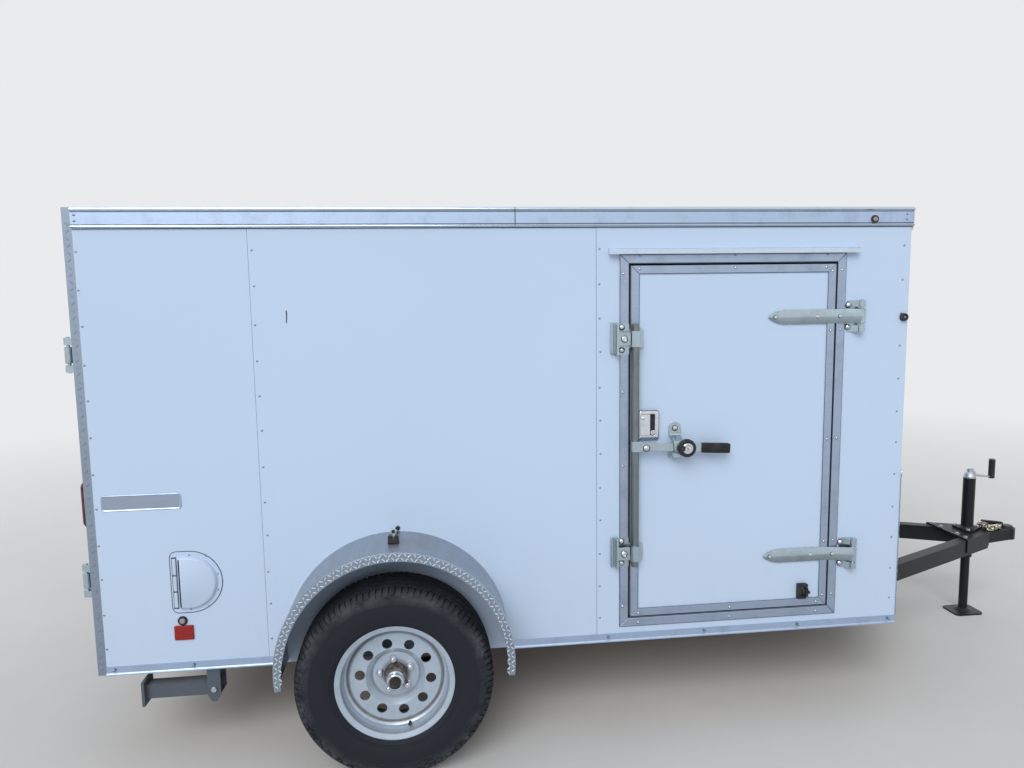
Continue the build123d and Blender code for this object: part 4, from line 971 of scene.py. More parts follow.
def on_side(side: Side, forward: float, height: float, out: float) -> Matrix:
    """A plane on a side of the trailer, its outward axis away from the middle.

    Args:
        side: the side.
        forward: the place along X.
        height: the place along Z.
        out: the distance from the middle.

    Returns:
        The plane; its first axis runs forward on the right side and to the rear on the left.
    """
    return facing(Vector((forward, side.value * out, height)), -side.value * FORWARD, UPWARD)


def on_rear(across: float, height: float, behind: float) -> Matrix:
    """A plane on the rear of the trailer, facing backwards, at X = behind."""
    return facing(Vector((behind, across, height)), -LEFTWARD, UPWARD)


def wall_out() -> float:
    """How far the side walls' faces are from the middle."""
    return abs(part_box("wall_right_front")[0].y)


def evenly(start: float, end: float, pitch: float) -> list[float]:
    """Places from start to end, at about that pitch."""
    count = max(1, round(abs(end - start) / pitch))
    return [start + (end - start) * index / count for index in range(count + 1)]


def bolt_head(shape: Shape, place: Matrix, across: float, height: float, chamfer: float = 0.001) -> None:
    """Adds a hexagon head or nut, its top corners turned off.

    Args:
        shape: what it is added to.
        place: its seat, the last axis along the bolt.
        across: the distance over its flats.
        height: how tall it is.
        chamfer: how far the corners are turned down.
    """
    shape.prism(place, arc(across / math.sqrt(3.0), 6), 0.0, height, chamfer)


def rivet(shape: Shape, place: Matrix, radius: float = 0.0042, height: float = 0.0016) -> None:
    """Adds a low domed head."""
    shape.lathe(place, [(radius, -0.0006), (radius, 0.25 * height), (0.80 * radius, 0.72 * height),
                        (0.42 * radius, 0.97 * height), (0.0, height)], 10)


def screw(shape: Shape, place: Matrix, across: float = 0.0078, height: float = 0.0040) -> None:
    """Adds a hexagon screw with the flange under its head."""
    shape.lathe(place, [(0.0, -0.0005), (0.76 * across, -0.0005), (0.72 * across, 0.0010), (0.0, 0.0014)], 14)
    bolt_head(shape, shifted(place, 0.0, 0.0, 0.0008), across, height, 0.0006)


def lug(shape: Shape, place: Matrix, length: float, width: float, height: float) -> None:
    """Adds one raised lug of tread plate, pointed at both ends.

    Args:
        shape: what it is added to.
        place: the plate's face at the lug's middle, its first axis along the lug.
        length: from tip to tip.
        width: over its middle.
        height: how proud it stands.
    """
    rings = []
    for tip, flank, half, level in ((length / 2, length / 6, width / 2, -0.0004),
                                    (0.36 * length, length / 8, width / 5, height)):
        rings.append(shape.ring(place, [(-tip, 0, level), (-flank, -half, level), (flank, -half, level),
                                        (tip, 0, level), (flank, half, level), (-flank, half, level)]))
    shape.skin(rings)


@dataclass
class Studio:
    """The pale floor, the soft light and the camera; angles of the camera are in radians."""

    eye: Triple = (-0.88206, -3.38742, 1.63949)
    yaw: float = -0.11234961
    pitch: float = 0.110366542
    roll: float = -0.014899331
    lens: float = 25.664
    floor_radius: float = 60.0
    floor_shade: float = 0.66
    cloudiness: float = 0.03
    fade_start: float = 2.6
    fade_end: float = 9.0
    backdrop: Colour = (0.82, 0.83, 0.845)
    sky_low: Colour = (0.66, 0.68, 0.70)
    sky_high: Colour = (0.97, 0.985, 1.0)
    ambient: float = 0.62
    key_power: float = 1.55
    key_colour: Colour = (1.0, 0.99, 0.97)
    key_angle: float = 38.0
    key_tilt: float = 52.0
    key_turn: float = -22.0

    def build(self) -> None:
        """Adds the floor, the light and the camera."""
        self.floor()
        self.sky()
        self.light()
        self.camera()

    def add(self, name: str, data: object) -> Object:
        """Puts an object into the scene.

        Args:
            name: the object's name.
            data: its camera, light or mesh.

        Returns:
            The object.
        """
        made = bpy.data.objects.new(name, data)
        bpy.context.scene.collection.objects.link(made)
        return made

    def floor(self) -> None:
        """Lays a round pale floor that fades into the backdrop."""
        mesh = bmesh.new()
        bmesh.ops.create_circle(mesh, cap_ends=True, segments=96, radius=self.floor_radius)
        data = bpy.data.meshes.new("floor")
        mesh.to_mesh(data)
        mesh.free()
        self.add("floor", data)
        surface = bpy.data.materials.new("floor")
        data.materials.append(surface)
        graph = Graph(surface)
        graph.set(base_color=graph.ramp(graph.noise(1.4, 5.0, 0.6), (0.3, self.floor_shade * (1 - self.cloudiness)),
                                        (0.7, self.floor_shade * (1 + self.cloudiness))),
                  roughness=0.9, specular_ior_level=0.1)
        away = graph.distance(graph.axis("X"), graph.axis("Y"))
        far = ((away - self.fade_start) / (self.fade_end - self.fade_start)).held()
        graph.show(graph.ramp(far, (0.0, 0.0), (1.0, 1.0)) * graph.seen(), graph.node("Emission", Color=self.backdrop))

    def sky(self) -> None:
        """Lights the trailer from a pale sky, and shows the plain backdrop in its place."""
        bpy.context.scene.world = bpy.data.worlds.new("studio")
        graph = Graph(bpy.context.scene.world)
        height = graph.node("SeparateXYZ", Vector=graph.texture.outputs["Generated"]).outputs["Z"]
        graph.set(color=graph.ramp(height, (0.0, self.sky_low), (0.6, self.sky_high)), strength=self.ambient)
        graph.show(graph.seen(), graph.node("Background", Color=self.backdrop, Strength=1.0))

    def light(self) -> None:
        """Adds one wide lamp over the camera's shoulder."""
        lamp = bpy.data.lights.new("key", "SUN")
        lamp.energy = self.key_power
        lamp.angle = math.radians(self.key_angle)
        lamp.color = self.key_colour
        self.add("key", lamp).rotation_euler = (math.radians(self.key_tilt), 0.0, math.radians(self.key_turn))

    def camera(self) -> None:
        """Puts the camera at the photograph's place and angle."""
        ahead = Vector((-math.sin(self.yaw), math.cos(self.yaw), 0.0))
        side = Vector((math.cos(self.yaw), math.sin(self.yaw), 0.0))
        top = UPWARD * math.cos(self.pitch) + ahead * math.sin(self.pitch)
        right = side * math.cos(self.roll) + top * math.sin(self.roll)
        top = top * math.cos(self.roll) - side * math.sin(self.roll)
        lens = bpy.data.cameras.new("camera")
        lens.lens = self.lens
        lens.clip_end = 4.0 * self.floor_radius
        camera = self.add("camera", lens)
        camera.matrix_world = facing(Vector(self.eye), right, top)
        bpy.context.scene.camera = camera


def tyre_box(side: Side) -> tuple[Vector, Vector]:
    """The low and the high corner of a side's tyre."""
    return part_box(f"tyre_{side.label}")


def wheel_centre(side: Side) -> Triple:
    """The middle of a side's wheel."""
    low, high = tyre_box(side)
    return tuple((low + high) / 2.0)


def tyre_rubber(side: Side) -> TyreRubber:
    """The rubber of a side's tyre."""
    return TyreRubber(f"tyre_rubber_{side.label}", (0.0085, 0.0115, 0.0185), centre=wheel_centre(side))


@dataclass
class Wheel:
    """A road wheel: the treaded tyre, the hub with its nuts and cap, and the valve.

    Profiles are pairs of radius and distance from the middle plane.
    """

    side: Side
    radius: float = 0.3438
    wall: tuple[Point, ...] = (
        (0.2040, 0.070), (0.2062, 0.084), (0.2130, 0.0895), (0.2185, 0.0925), (0.2215, 0.0925), (0.2228, 0.0945),
        (0.2262, 0.0955), (0.2285, 0.0950), (0.2400, 0.0985), (0.2560, 0.1005), (0.2720, 0.1010), (0.2860, 0.1000),
        (0.2875, 0.1008), (0.2905, 0.1006), (0.2920, 0.0992), (0.3050, 0.0970), (0.3170, 0.0930), (0.3260, 0.0868),
        (0.3315, 0.0780), (0.3345, 0.0660), (0.3362, 0.0400), (0.3366, 0.0))
    ribs: tuple[Point, ...] = ((-0.058, -0.029), (-0.021, 0.021), (0.029, 0.058))
    groove_depth: float = 0.007
    pitches: int = 96
    shoulder_share: float = 0.80
    shoulder_skew: float = 26.0
    rib_edge: float = 0.0035
    crown: float = 0.55
    disc_face: float = 0.033
    nave_face: float = 0.008
    nave: tuple[Point, ...] = (
        (0.030, -0.084), (0.072, -0.050), (0.072, -0.034), (0.0715, 0.0), (0.0415, 0.0), (0.0415, 0.012),
        (0.0400, 0.020), (0.0392, 0.036), (0.0370, 0.0435), (0.0325, 0.0455))
    cap: tuple[Point, ...] = (
        (0.0308, 0.044), (0.0312, 0.050), (0.0318, 0.052), (0.0318, 0.056), (0.0300, 0.058), (0.0295, 0.072),
        (0.0285, 0.0755), (0.0262, 0.0775), (0.0232, 0.0775), (0.0220, 0.0745))
    plug: tuple[Point, ...] = (
        (0.0205, 0.0735), (0.0205, 0.0780), (0.0190, 0.0796), (0.0135, 0.0796), (0.0120, 0.0780))
    nuts: int = 5
    nut_circle: float = 0.05715
    nut_turn: float = 26.0
    nut_across: float = 0.0205
    valve_radius: float = 0.180
    valve_turn: float = -75.0
    valve_lean: float = -16.0

    @property
    def place(self) -> Matrix:
        """The wheel's middle plane, its outward axis pointing away from the trailer."""
        middle = wheel_centre(self.side)
        return on_side(self.side, middle[0], middle[2], abs(middle[1]))

    @property
    def body(self) -> Body:
        """The body that the wheel is."""
        return Body[f"WHEEL_{self.side.name}"]

    def polar(self, radius: float, degrees: float, height: float) -> Matrix:
        """A plane on the wheel's face, its first axis pointing away from the hub."""
        return shifted(turned(self.place, math.radians(degrees)), radius, 0.0, height)

    def build(self) -> None:
        """Makes the wheel's pieces."""
        self.tyre()
        self.hub()
        self.valve()

    def tread_radius(self, across: float) -> float:
        """The tread's radius at a distance from the middle plane."""
        return self.radius - self.crown * across * across

    def tyre(self) -> None:
        """Makes the carcass with its wall rings, and the tread blocks on it."""
        shape = Shape(tyre_rubber(self.side))
        inner_wall = [(radius, -height) for radius, height in self.wall[-2::-1]]
        shape.lathe(self.place, [*self.wall, *inner_wall], 144, looped=True)
        for way in (-1, 1):
            self.shoulder(shape, way)
        for inner, outer in self.ribs:
            self.rib(shape, inner, outer)
        label = self.side.label
        shape.make(f"tyre_with_tread_{label}", "tyre_rubber", self.body, 28.0, [f"tyre_{label}"])

    def section(self, shape: Shape, angle: float, corners: Sequence[Point],
                skew: float = 0.0) -> list[bmesh.types.BMVert]:
        """Adds the corners of a section through the tread.

        Args:
            shape: what they are added to.
            angle: where the section is, in degrees.
            corners: pairs of distance from the middle plane and radius.
            skew: degrees that a corner turns ahead for each metre from the middle plane.

        Returns:
            The corners.
        """
        turns = [math.radians(angle + skew * abs(across)) for across, _ in corners]
        return shape.ring(self.place, [(radius * math.cos(turn), radius * math.sin(turn), across)
                                       for turn, (across, radius) in zip(turns, corners)])

    def shoulder(self, shape: Shape, way: int) -> None:
        """Adds the blocks that wrap over one shoulder; every other one reaches lower.

        Args:
            shape: what they are added to.
            way: 1 for the outer shoulder and -1 for the inner one.
        """
        pitch = 360.0 / self.pitches
        edge = self.tread_radius(0.066)
        for index in range(self.pitches):
            long = index % 2 == 0
            low = (0.0968, 0.3130) if long else (0.0925, 0.3230)
            outline = [(0.066, 0.3330), (0.066, edge), (0.0745, edge - 0.0012), (0.0835, edge - 0.0052),
                       (0.0915, 0.3285), (0.0958 if long else 0.0935, 0.3215), low, (low[0] - 0.008, low[1] - 0.001)]
            corners = [(way * across, radius) for across, radius in outline]
            share = self.shoulder_share if long else self.shoulder_share - 0.06
            shape.skin([self.section(shape, pitch * (index + part * share / 2), corners, self.shoulder_skew)
                        for part in range(3)])

    def rib(self, shape: Shape, inner: float, outer: float) -> None:
        """Adds one rib round the tread, with notched edges.

        Args:
            shape: what it is added to.
            inner: one edge's distance from the middle plane.
            outer: the other edge's.
        """
        count = 2 * self.pitches
        foot = self.radius - self.groove_depth
        rings = []
        for step in range(count):
            notch = self.rib_edge if step % 4 < 2 else -self.rib_edge
            rings.append(self.section(shape, 360.0 * step / count, [
                (inner + notch, foot), (inner + notch, self.tread_radius(inner)),
                (outer + notch, self.tread_radius(outer)), (outer + notch, foot)]))
        shape.skin(rings, looped=True)

    def hub(self) -> None:
        """Makes the rusted hub, its studs and nuts, the chromed cap and the rubber plug in it."""
        shape = Shape(Finishes.HUB)
        shape.knob(self.place, self.nave, 48)
        shape.use(Finishes.CHROME).knob(self.place, self.cap, 48)
        shape.use(Finishes.RUBBER).knob(self.place, self.plug, 36)
        shape.use(Finishes.CHROME)
        for index in range(self.nuts):
            seat = self.polar(self.nut_circle, self.nut_turn + 360.0 * index / self.nuts, self.nave_face)
            shape.knob(seat, [(0.0130, -0.002), (0.0130, 0.0010), (0.0112, 0.0035)], 20)
            bolt_head(shape, shifted(seat, 0.0, 0.0, 0.003), self.nut_across, 0.0150, 0.0022)
            shape.knob(seat, [(0.0056, 0.017), (0.0056, 0.0225), (0.0046, 0.0235)], 14)
        label = self.side.label
        shape.make(f"hub_and_nuts_{label}", "hub_steel", self.body, 30.0, [f"hub_{label}"])

    def valve(self) -> None:
        """Makes the rubber valve stem with its cap, low on the barrel."""
        shape = Shape(Finishes.RUBBER)
        base = self.polar(self.valve_radius, self.valve_turn, self.disc_face - 0.004)
        lean = turned(base, math.radians(self.valve_lean), "Y")
        shape.knob(lean, [(0.0085, -0.006), (0.0085, 0.001), (0.0062, 0.004), (0.0050, 0.010), (0.0046, 0.022)], 18)
        shape.use(Finishes.BLACK_PLASTIC).knob(
            lean, [(0.0050, 0.020), (0.0054, 0.022), (0.0054, 0.031), (0.0046, 0.0335)], 18)
        shape.make(f"valve_{self.side.label}", "black_rubber", self.body)


@dataclass
class TreadPlate:
    """Lugs over the parts that are rolled tread plate: the nose guard and the rear corner posts."""

    pitch: float = 0.024
    length: float = 0.019
    width: float = 0.0056
    height: float = 0.0011
    margin: float = 0.011

    def build(self) -> None:
        """Makes the lugs of each part."""
        self.nose()
        self.posts()

    def field(self, shape: Shape, plane: Matrix, wide: float, tall: float) -> None:
        """Covers a rectangle with lugs, turned one way and the other by turns.

        Args:
            shape: what they are added to.
            plane: the rectangle's plane at its lower left corner.
            wide: the rectangle's width.
            tall: its height.
        """
        columns = max(1, int((wide - 2 * self.margin) / self.pitch) + 1)
        rows = int((tall - 2 * self.margin) / self.pitch) + 1
        left = (wide - (columns - 1) * self.pitch) / 2
        low = (tall - (rows - 1) * self.pitch) / 2
        for column in range(columns):
            for row in range(rows):
                turn = math.radians(45.0 if (column + row) % 2 == 0 else -45.0)
                spot = shifted(plane, left + column * self.pitch, low + row * self.pitch)
                lug(shape, turned(spot, turn), self.length, self.width, self.height)

    def nose(self) -> None:
        """Covers both faces of the nose guard."""
        shape = Shape(Finishes.LUG)
        for face in NoseFace.both():
            self.field(shape, face.plane(0.0, 0.0), face.long, face.tall)
        shape.make("nose_guard_lugs", "tread_plate")

    def posts(self) -> None:
        """Covers the side strips and rear faces of the rear corner posts."""
        low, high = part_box("rear_frame")
        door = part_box("rear_door_left")[1].y
        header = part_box("edge_trim")[0].z
        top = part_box("wall_right_rear")[1].z
        shape = Shape(Finishes.TREAD)
        for side in Side:
            near, edge = (low.x, -door) if side is Side.RIGHT else (high.x, high.y)
            self.field(shape, on_side(side, near, header, high.y), high.x - low.x, top - header)
            self.field(shape, on_rear(edge, header, low.x), high.y - door, top - header)
        shape.make("rear_post_lugs", "tread_plate")


@dataclass
class NoseFace:
    """One of the two faces of the nose guard."""

    side: Side

    def __post_init__(self) -> None:
        """Reads where the face is."""
        low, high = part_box("stone_guard")
        self.low, self.tall = low.z, high.z - low.z
        self.corner = Vector((low.x + NOSE_FOLD, self.side.value * high.y, 0.0))
        self.tip = Vector((high.x, 0.0, 0.0))
        self.long = (self.tip - self.corner).length

    @classmethod
    def both(cls) -> list["NoseFace"]:
        """The faces of both sides."""
        return [cls(side) for side in Side]

    def plane(self, share: float, height: float) -> Matrix:
        """A plane on the face, its last axis outward.

        Args:
            share: how far along the face it starts, from its left edge as seen.
            height: how far over its lower edge.

        Returns:
            The plane.
        """
        ends = (self.corner, self.tip) if self.side is Side.RIGHT else (self.tip, self.corner)
        start = ends[0] + (ends[1] - ends[0]) * share + UPWARD * (self.low + height)
        return facing(start, (ends[1] - ends[0]).normalized(), UPWARD)


@dataclass
class NoseTrim:
    """The nose's bright trims: the cap down its ridge and the riveted strips on the guard's top edge."""

    cap_radius: float = 0.014
    cap_sunk: float = 0.0105
    strip_tall: float = 0.022
    strip_short: float = 0.006
    strip_proud: float = 0.0026
    rivet_pitch: float = 0.118
    rivet_end: float = 0.03

    def build(self) -> None:
        """Makes the cap and the strips."""
        low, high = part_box("stone_guard")
        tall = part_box("nose_wall_right")[1].z - low.z
        shape = Shape(Finishes.BEADING)
        shape.knob(Matrix.Translation((high.x - self.cap_sunk, 0.0, low.z)),
                   [(self.cap_radius, 0.0), (self.cap_radius, tall)])
        for face in NoseFace.both():
            middle = face.plane(0.5, face.tall)
            long = face.long - self.strip_short
            shape.use(Finishes.BEADING).prism(middle, rounded(long, self.strip_tall, 0.002), -0.0020,
                                              self.strip_proud, 0.0008)
            shape.use(Finishes.FIXING)
            for shift in evenly(self.rivet_end - long / 2, long / 2 - self.rivet_end, self.rivet_pitch):
                rivet(shape, shifted(middle, shift, 0.0, self.strip_proud))
        shape.make("nose_trims", "trim_aluminium")


@dataclass
class Fender:
    """A round fender's dressing: the tread plate lip with its lugs and bead, and the small lamp on top."""

    side: Side
    lip_wide: float = 0.030
    lip_proud: float = 0.0006
    lug_pitch: float = 0.0165
    lug_length: float = 0.0175
    lug_width: float = 0.0062
    lug_height: float = 0.0014
    lug_rows: Point = (0.26, 0.74)
    foot_drop: float = 0.330
    flange: float = 0.018
    lamp_out: float = 0.128

    def __post_init__(self) -> None:
        """Reads the fender's place."""
        low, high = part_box(f"fender_{self.side.label}")
        self.out = max(abs(low.y), abs(high.y))
        self.wall = min(abs(low.y), abs(high.y))
        self.foot_z = tyre_box(self.side)[1].z - self.foot_drop
        self.top = high.z
        self.centre_x = high.x - (high.x - low.x - self.flange) / 2
        half = high.x - self.centre_x
        rise = high.z - self.foot_z
        self.radius = (half * half + rise * rise) / (2 * rise)
        self.centre_z = high.z - self.radius

    def build(self) -> None:
        """Makes the fender's pieces."""
        self.lip()
        self.lamp()

    def place(self, radius: float, angle: float, out: float) -> Vector:
        """A point at a radius and an angle from straight up, and that far from the trailer's middle."""
        return Vector((self.centre_x + radius * math.sin(angle), self.side.value * out,
                       self.centre_z + radius * math.cos(angle)))

    def lip(self) -> None:
        """Makes the tread plate lip, two rows of lugs on it and the bead on its outer corner."""
        shape = Shape(Finishes.TREAD)
        reach = math.acos((self.foot_z - self.centre_z) / self.radius)
        rings = []
        for angle in evenly(-reach, reach, 0.025):
            inner = self.radius - self.lip_wide * (1.0 - 0.3 * max(0.0, 5.0 * abs(angle) / reach - 4.0))
            rings.append([shape.mesh.verts.new(self.place(radius, angle, self.out + proud))
                          for radius, proud in ((inner, -0.003), (inner, self.lip_proud),
                                                (self.radius - 0.001, self.lip_proud), (self.radius, -0.001))])
        shape.skin(rings)
        shape.use(Finishes.LUG)
        count = int(2 * reach * self.radius / self.lug_pitch)
        for index in range(1, count):
            for row, share in enumerate(self.lug_rows):
                angle = -reach + 2 * reach * (index + 0.5 * row) / count
                point = self.place(self.radius - self.lip_wide * share, angle, self.out + self.lip_proud)
                turn = math.radians(45.0 if (index + row) % 2 else -45.0) + self.side.value * angle
                lug(shape, turned(on_side(self.side, point.x, point.z, abs(point.y)), turn), self.lug_length,
                    self.lug_width, self.lug_height)
        shape.tube([self.place(self.radius - 0.0012, angle, self.out - 0.0012)
                    for angle in evenly(-reach, reach, 0.03)], 0.0015, 8)
        shape.make(f"fender_lip_lugs_{self.side.label}", "fender_aluminium")

    def lamp(self) -> None:
        """Makes the small lamp that stands on the fender: its pale bracket, dark lens box, screw and wire."""
        upright = on_side(self.side, self.centre_x - 0.002, self.top, self.wall + self.lamp_out)
        tab = [(-0.021, -0.001), (0.021, -0.001), (0.021, 0.026), (0.008, 0.029), (0.008, 0.046), (-0.008, 0.046),
               (-0.008, 0.029), (-0.021, 0.026)]
        box = [(-0.019, 0.0), (0.019, 0.0), (0.019, 0.025), (0.015, 0.030), (0.007, 0.030), (0.002, 0.018),
               (-0.002, 0.018), (-0.007, 0.030), (-0.015, 0.030), (-0.019, 0.025)]
        lead = [(0.0, 0.036, -0.003), (0.003, 0.030, -0.020), (0.006, 0.014, -0.048), (0.008, 0.004, -0.082),
                (0.010, 0.004, -0.112), (0.010, 0.012, -0.1265)]
        shape = Shape(Finishes.ZINC)
        shape.prism(upright, tab, -0.0035, -0.0015, 0.0004)
        shape.prism(turned(upright, math.pi / 2, "X"), oblong(-0.021, -0.003, 0.021, -0.026), -0.0016, 0.0004)
        shape.use(Finishes.BLACK_PLASTIC).prism(upright, rounded(0.040, 0.024, 0.004), -0.002, 0.004)
        shape.use(Finishes.SMOKED).prism(upright, box, -0.0015, 0.016, 0.0032)
        shape.use(Finishes.BLACK_PLASTIC).knob(shifted(upright, 0.0, 0.039, -0.0015),
                                               [(0.0062, 0.0), (0.0062, 0.003), (0.0045, 0.0048)], 16)
        shape.tube([upright @ Vector(point) for point in lead], 0.0024, 8)
        grommet = on_side(self.side, (upright @ Vector(lead[-1])).x, self.top + 0.012, self.wall)
        shape.knob(grommet, [(0.0085, -0.001), (0.0085, 0.0020), (0.0050, 0.0045)], 20)
        shape.make(f"fender_lamp_{self.side.label}", "black_rubber")


@dataclass
class Moulding:
    """A strip bent along the edge of the body, over both sides and the two faces of the nose.

    Its profile is pairs of how far out of the wall and how far over the base.
    """

    name: str
    base: float
    profile: tuple[Point, ...]
    finish: Finish
    slot: str = "trim_aluminium"

    def plan(self) -> list[Vector]:
        """The body's outline from above.

        Returns:
            Its corners, from the right rear one round the nose to the left one.
        """
        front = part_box("wall_right_front")[1].x
        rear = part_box("wall_right_rear")[0].x
        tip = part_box("nose_wall_right")[1].x
        half = wall_out()
        return [Vector((rear, -half, 0)), Vector((front, -half, 0)), Vector((tip, 0, 0)), Vector((front, half, 0)),
                Vector((rear, half, 0))]

    def build(self) -> None:
        """Makes the strip, mitred where it turns."""
        points = self.plan()
        shape = Shape(self.finish)
        rings = []
        for index, point in enumerate(points):
            around = points[max(0, index - 1):index + 2]
            runs = [(after - before).normalized() for before, after in zip(around, around[1:])]
            outward = sum((Vector((run.y, -run.x, 0.0)) for run in runs), Vector((0.0, 0.0, 0.0))) / len(runs)
            outward /= outward.length_squared
            rings.append([shape.mesh.verts.new(point + outward * out + UPWARD * (self.base + up))
                          for out, up in self.profile])
        shape.skin(rings)
        shape.make(self.name, self.slot, smooth=20.0)


def half_round(tall: float, out: float, steps: int = 8) -> tuple[Point, ...]:
    """The section of a half round moulding, from its lower edge on the wall to its upper one."""
    curve = [(out * math.sin(math.pi * step / steps), tall / 2 * (1.0 - math.cos(math.pi * step / steps)))
             for step in range(steps + 1)]
    return ((-0.0005, 0.0), *curve, (-0.0005, tall))


def flat_band(tall: float, out: float, edge: float = 0.0012) -> tuple[Point, ...]:
    """The section of a flat moulding with its corners taken off."""
    return ((-0.0005, 0.0), (out - edge, 0.0), (out, edge), (out, tall - edge), (out - edge, tall), (-0.0005, tall))


@dataclass
class RoofEdge:
    """The bright moulding round the top of the body, with the splice in each side and its end screws."""

    low: float = 1.9052
    splice: float = -0.567
    splice_rise: float = 0.037
    splice_out: float = 0.0108
    screw_rises: Point = (0.027, 0.047)
    screw_ends: Point = (0.013, 0.026)
    band_out: float = 0.0078

    def build(self) -> None:
        """Makes the mouldings from the bottom up, then the splices."""
        line = flat_band(0.0020, 0.0066, 0.0004)
        groove_shade = flat_band(0.0026, 0.0066, 0.0004)
        # the seal under the bottom bead is partly sealant, partly painted shadow; the line and the groove are dark
        # strips of painted shadow beside the beads
        Moulding("roof_edge_seal", self.low, flat_band(0.0032, 0.0022, 0.0005), Finishes.GAP, "black_rubber").build()
        for name, rise, section, finish in (("bead", 0.0032, half_round(0.0105, 0.0105), Finishes.BEADING),
                                            ("line", 0.0135, line, Finishes.SHADE),
                                            ("band", 0.0153, flat_band(0.0412, self.band_out), Finishes.TRIM),
                                            ("groove_shade", 0.0563, groove_shade, Finishes.SHADE),
                                            ("top_bead", 0.0588, half_round(0.0140, 0.0105), Finishes.BEADING)):
            Moulding(f"roof_edge_{name}", self.low + rise, section, finish).build()
        rear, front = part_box("wall_right_rear")[0].x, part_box("wall_right_front")[1].x
        shape = Shape(Finishes.SHADE)
        for side in Side:
            shape.use(Finishes.SHADE).prism(on_side(side, self.splice, self.low + self.splice_rise, wall_out()),
                                            oblong(-0.0012, -0.033, 0.0012, 0.035), 0.0, self.splice_out)
            shape.use(Finishes.FIXING)
            for forward in (rear + self.screw_ends[0], front - self.screw_ends[1]):
                for rise in self.screw_rises:
                    rivet(shape, on_side(side, forward, self.low + rise, wall_out() + self.band_out), 0.0046, 0.0022)
        shape.make("roof_edge_splices", "trim_aluminium")


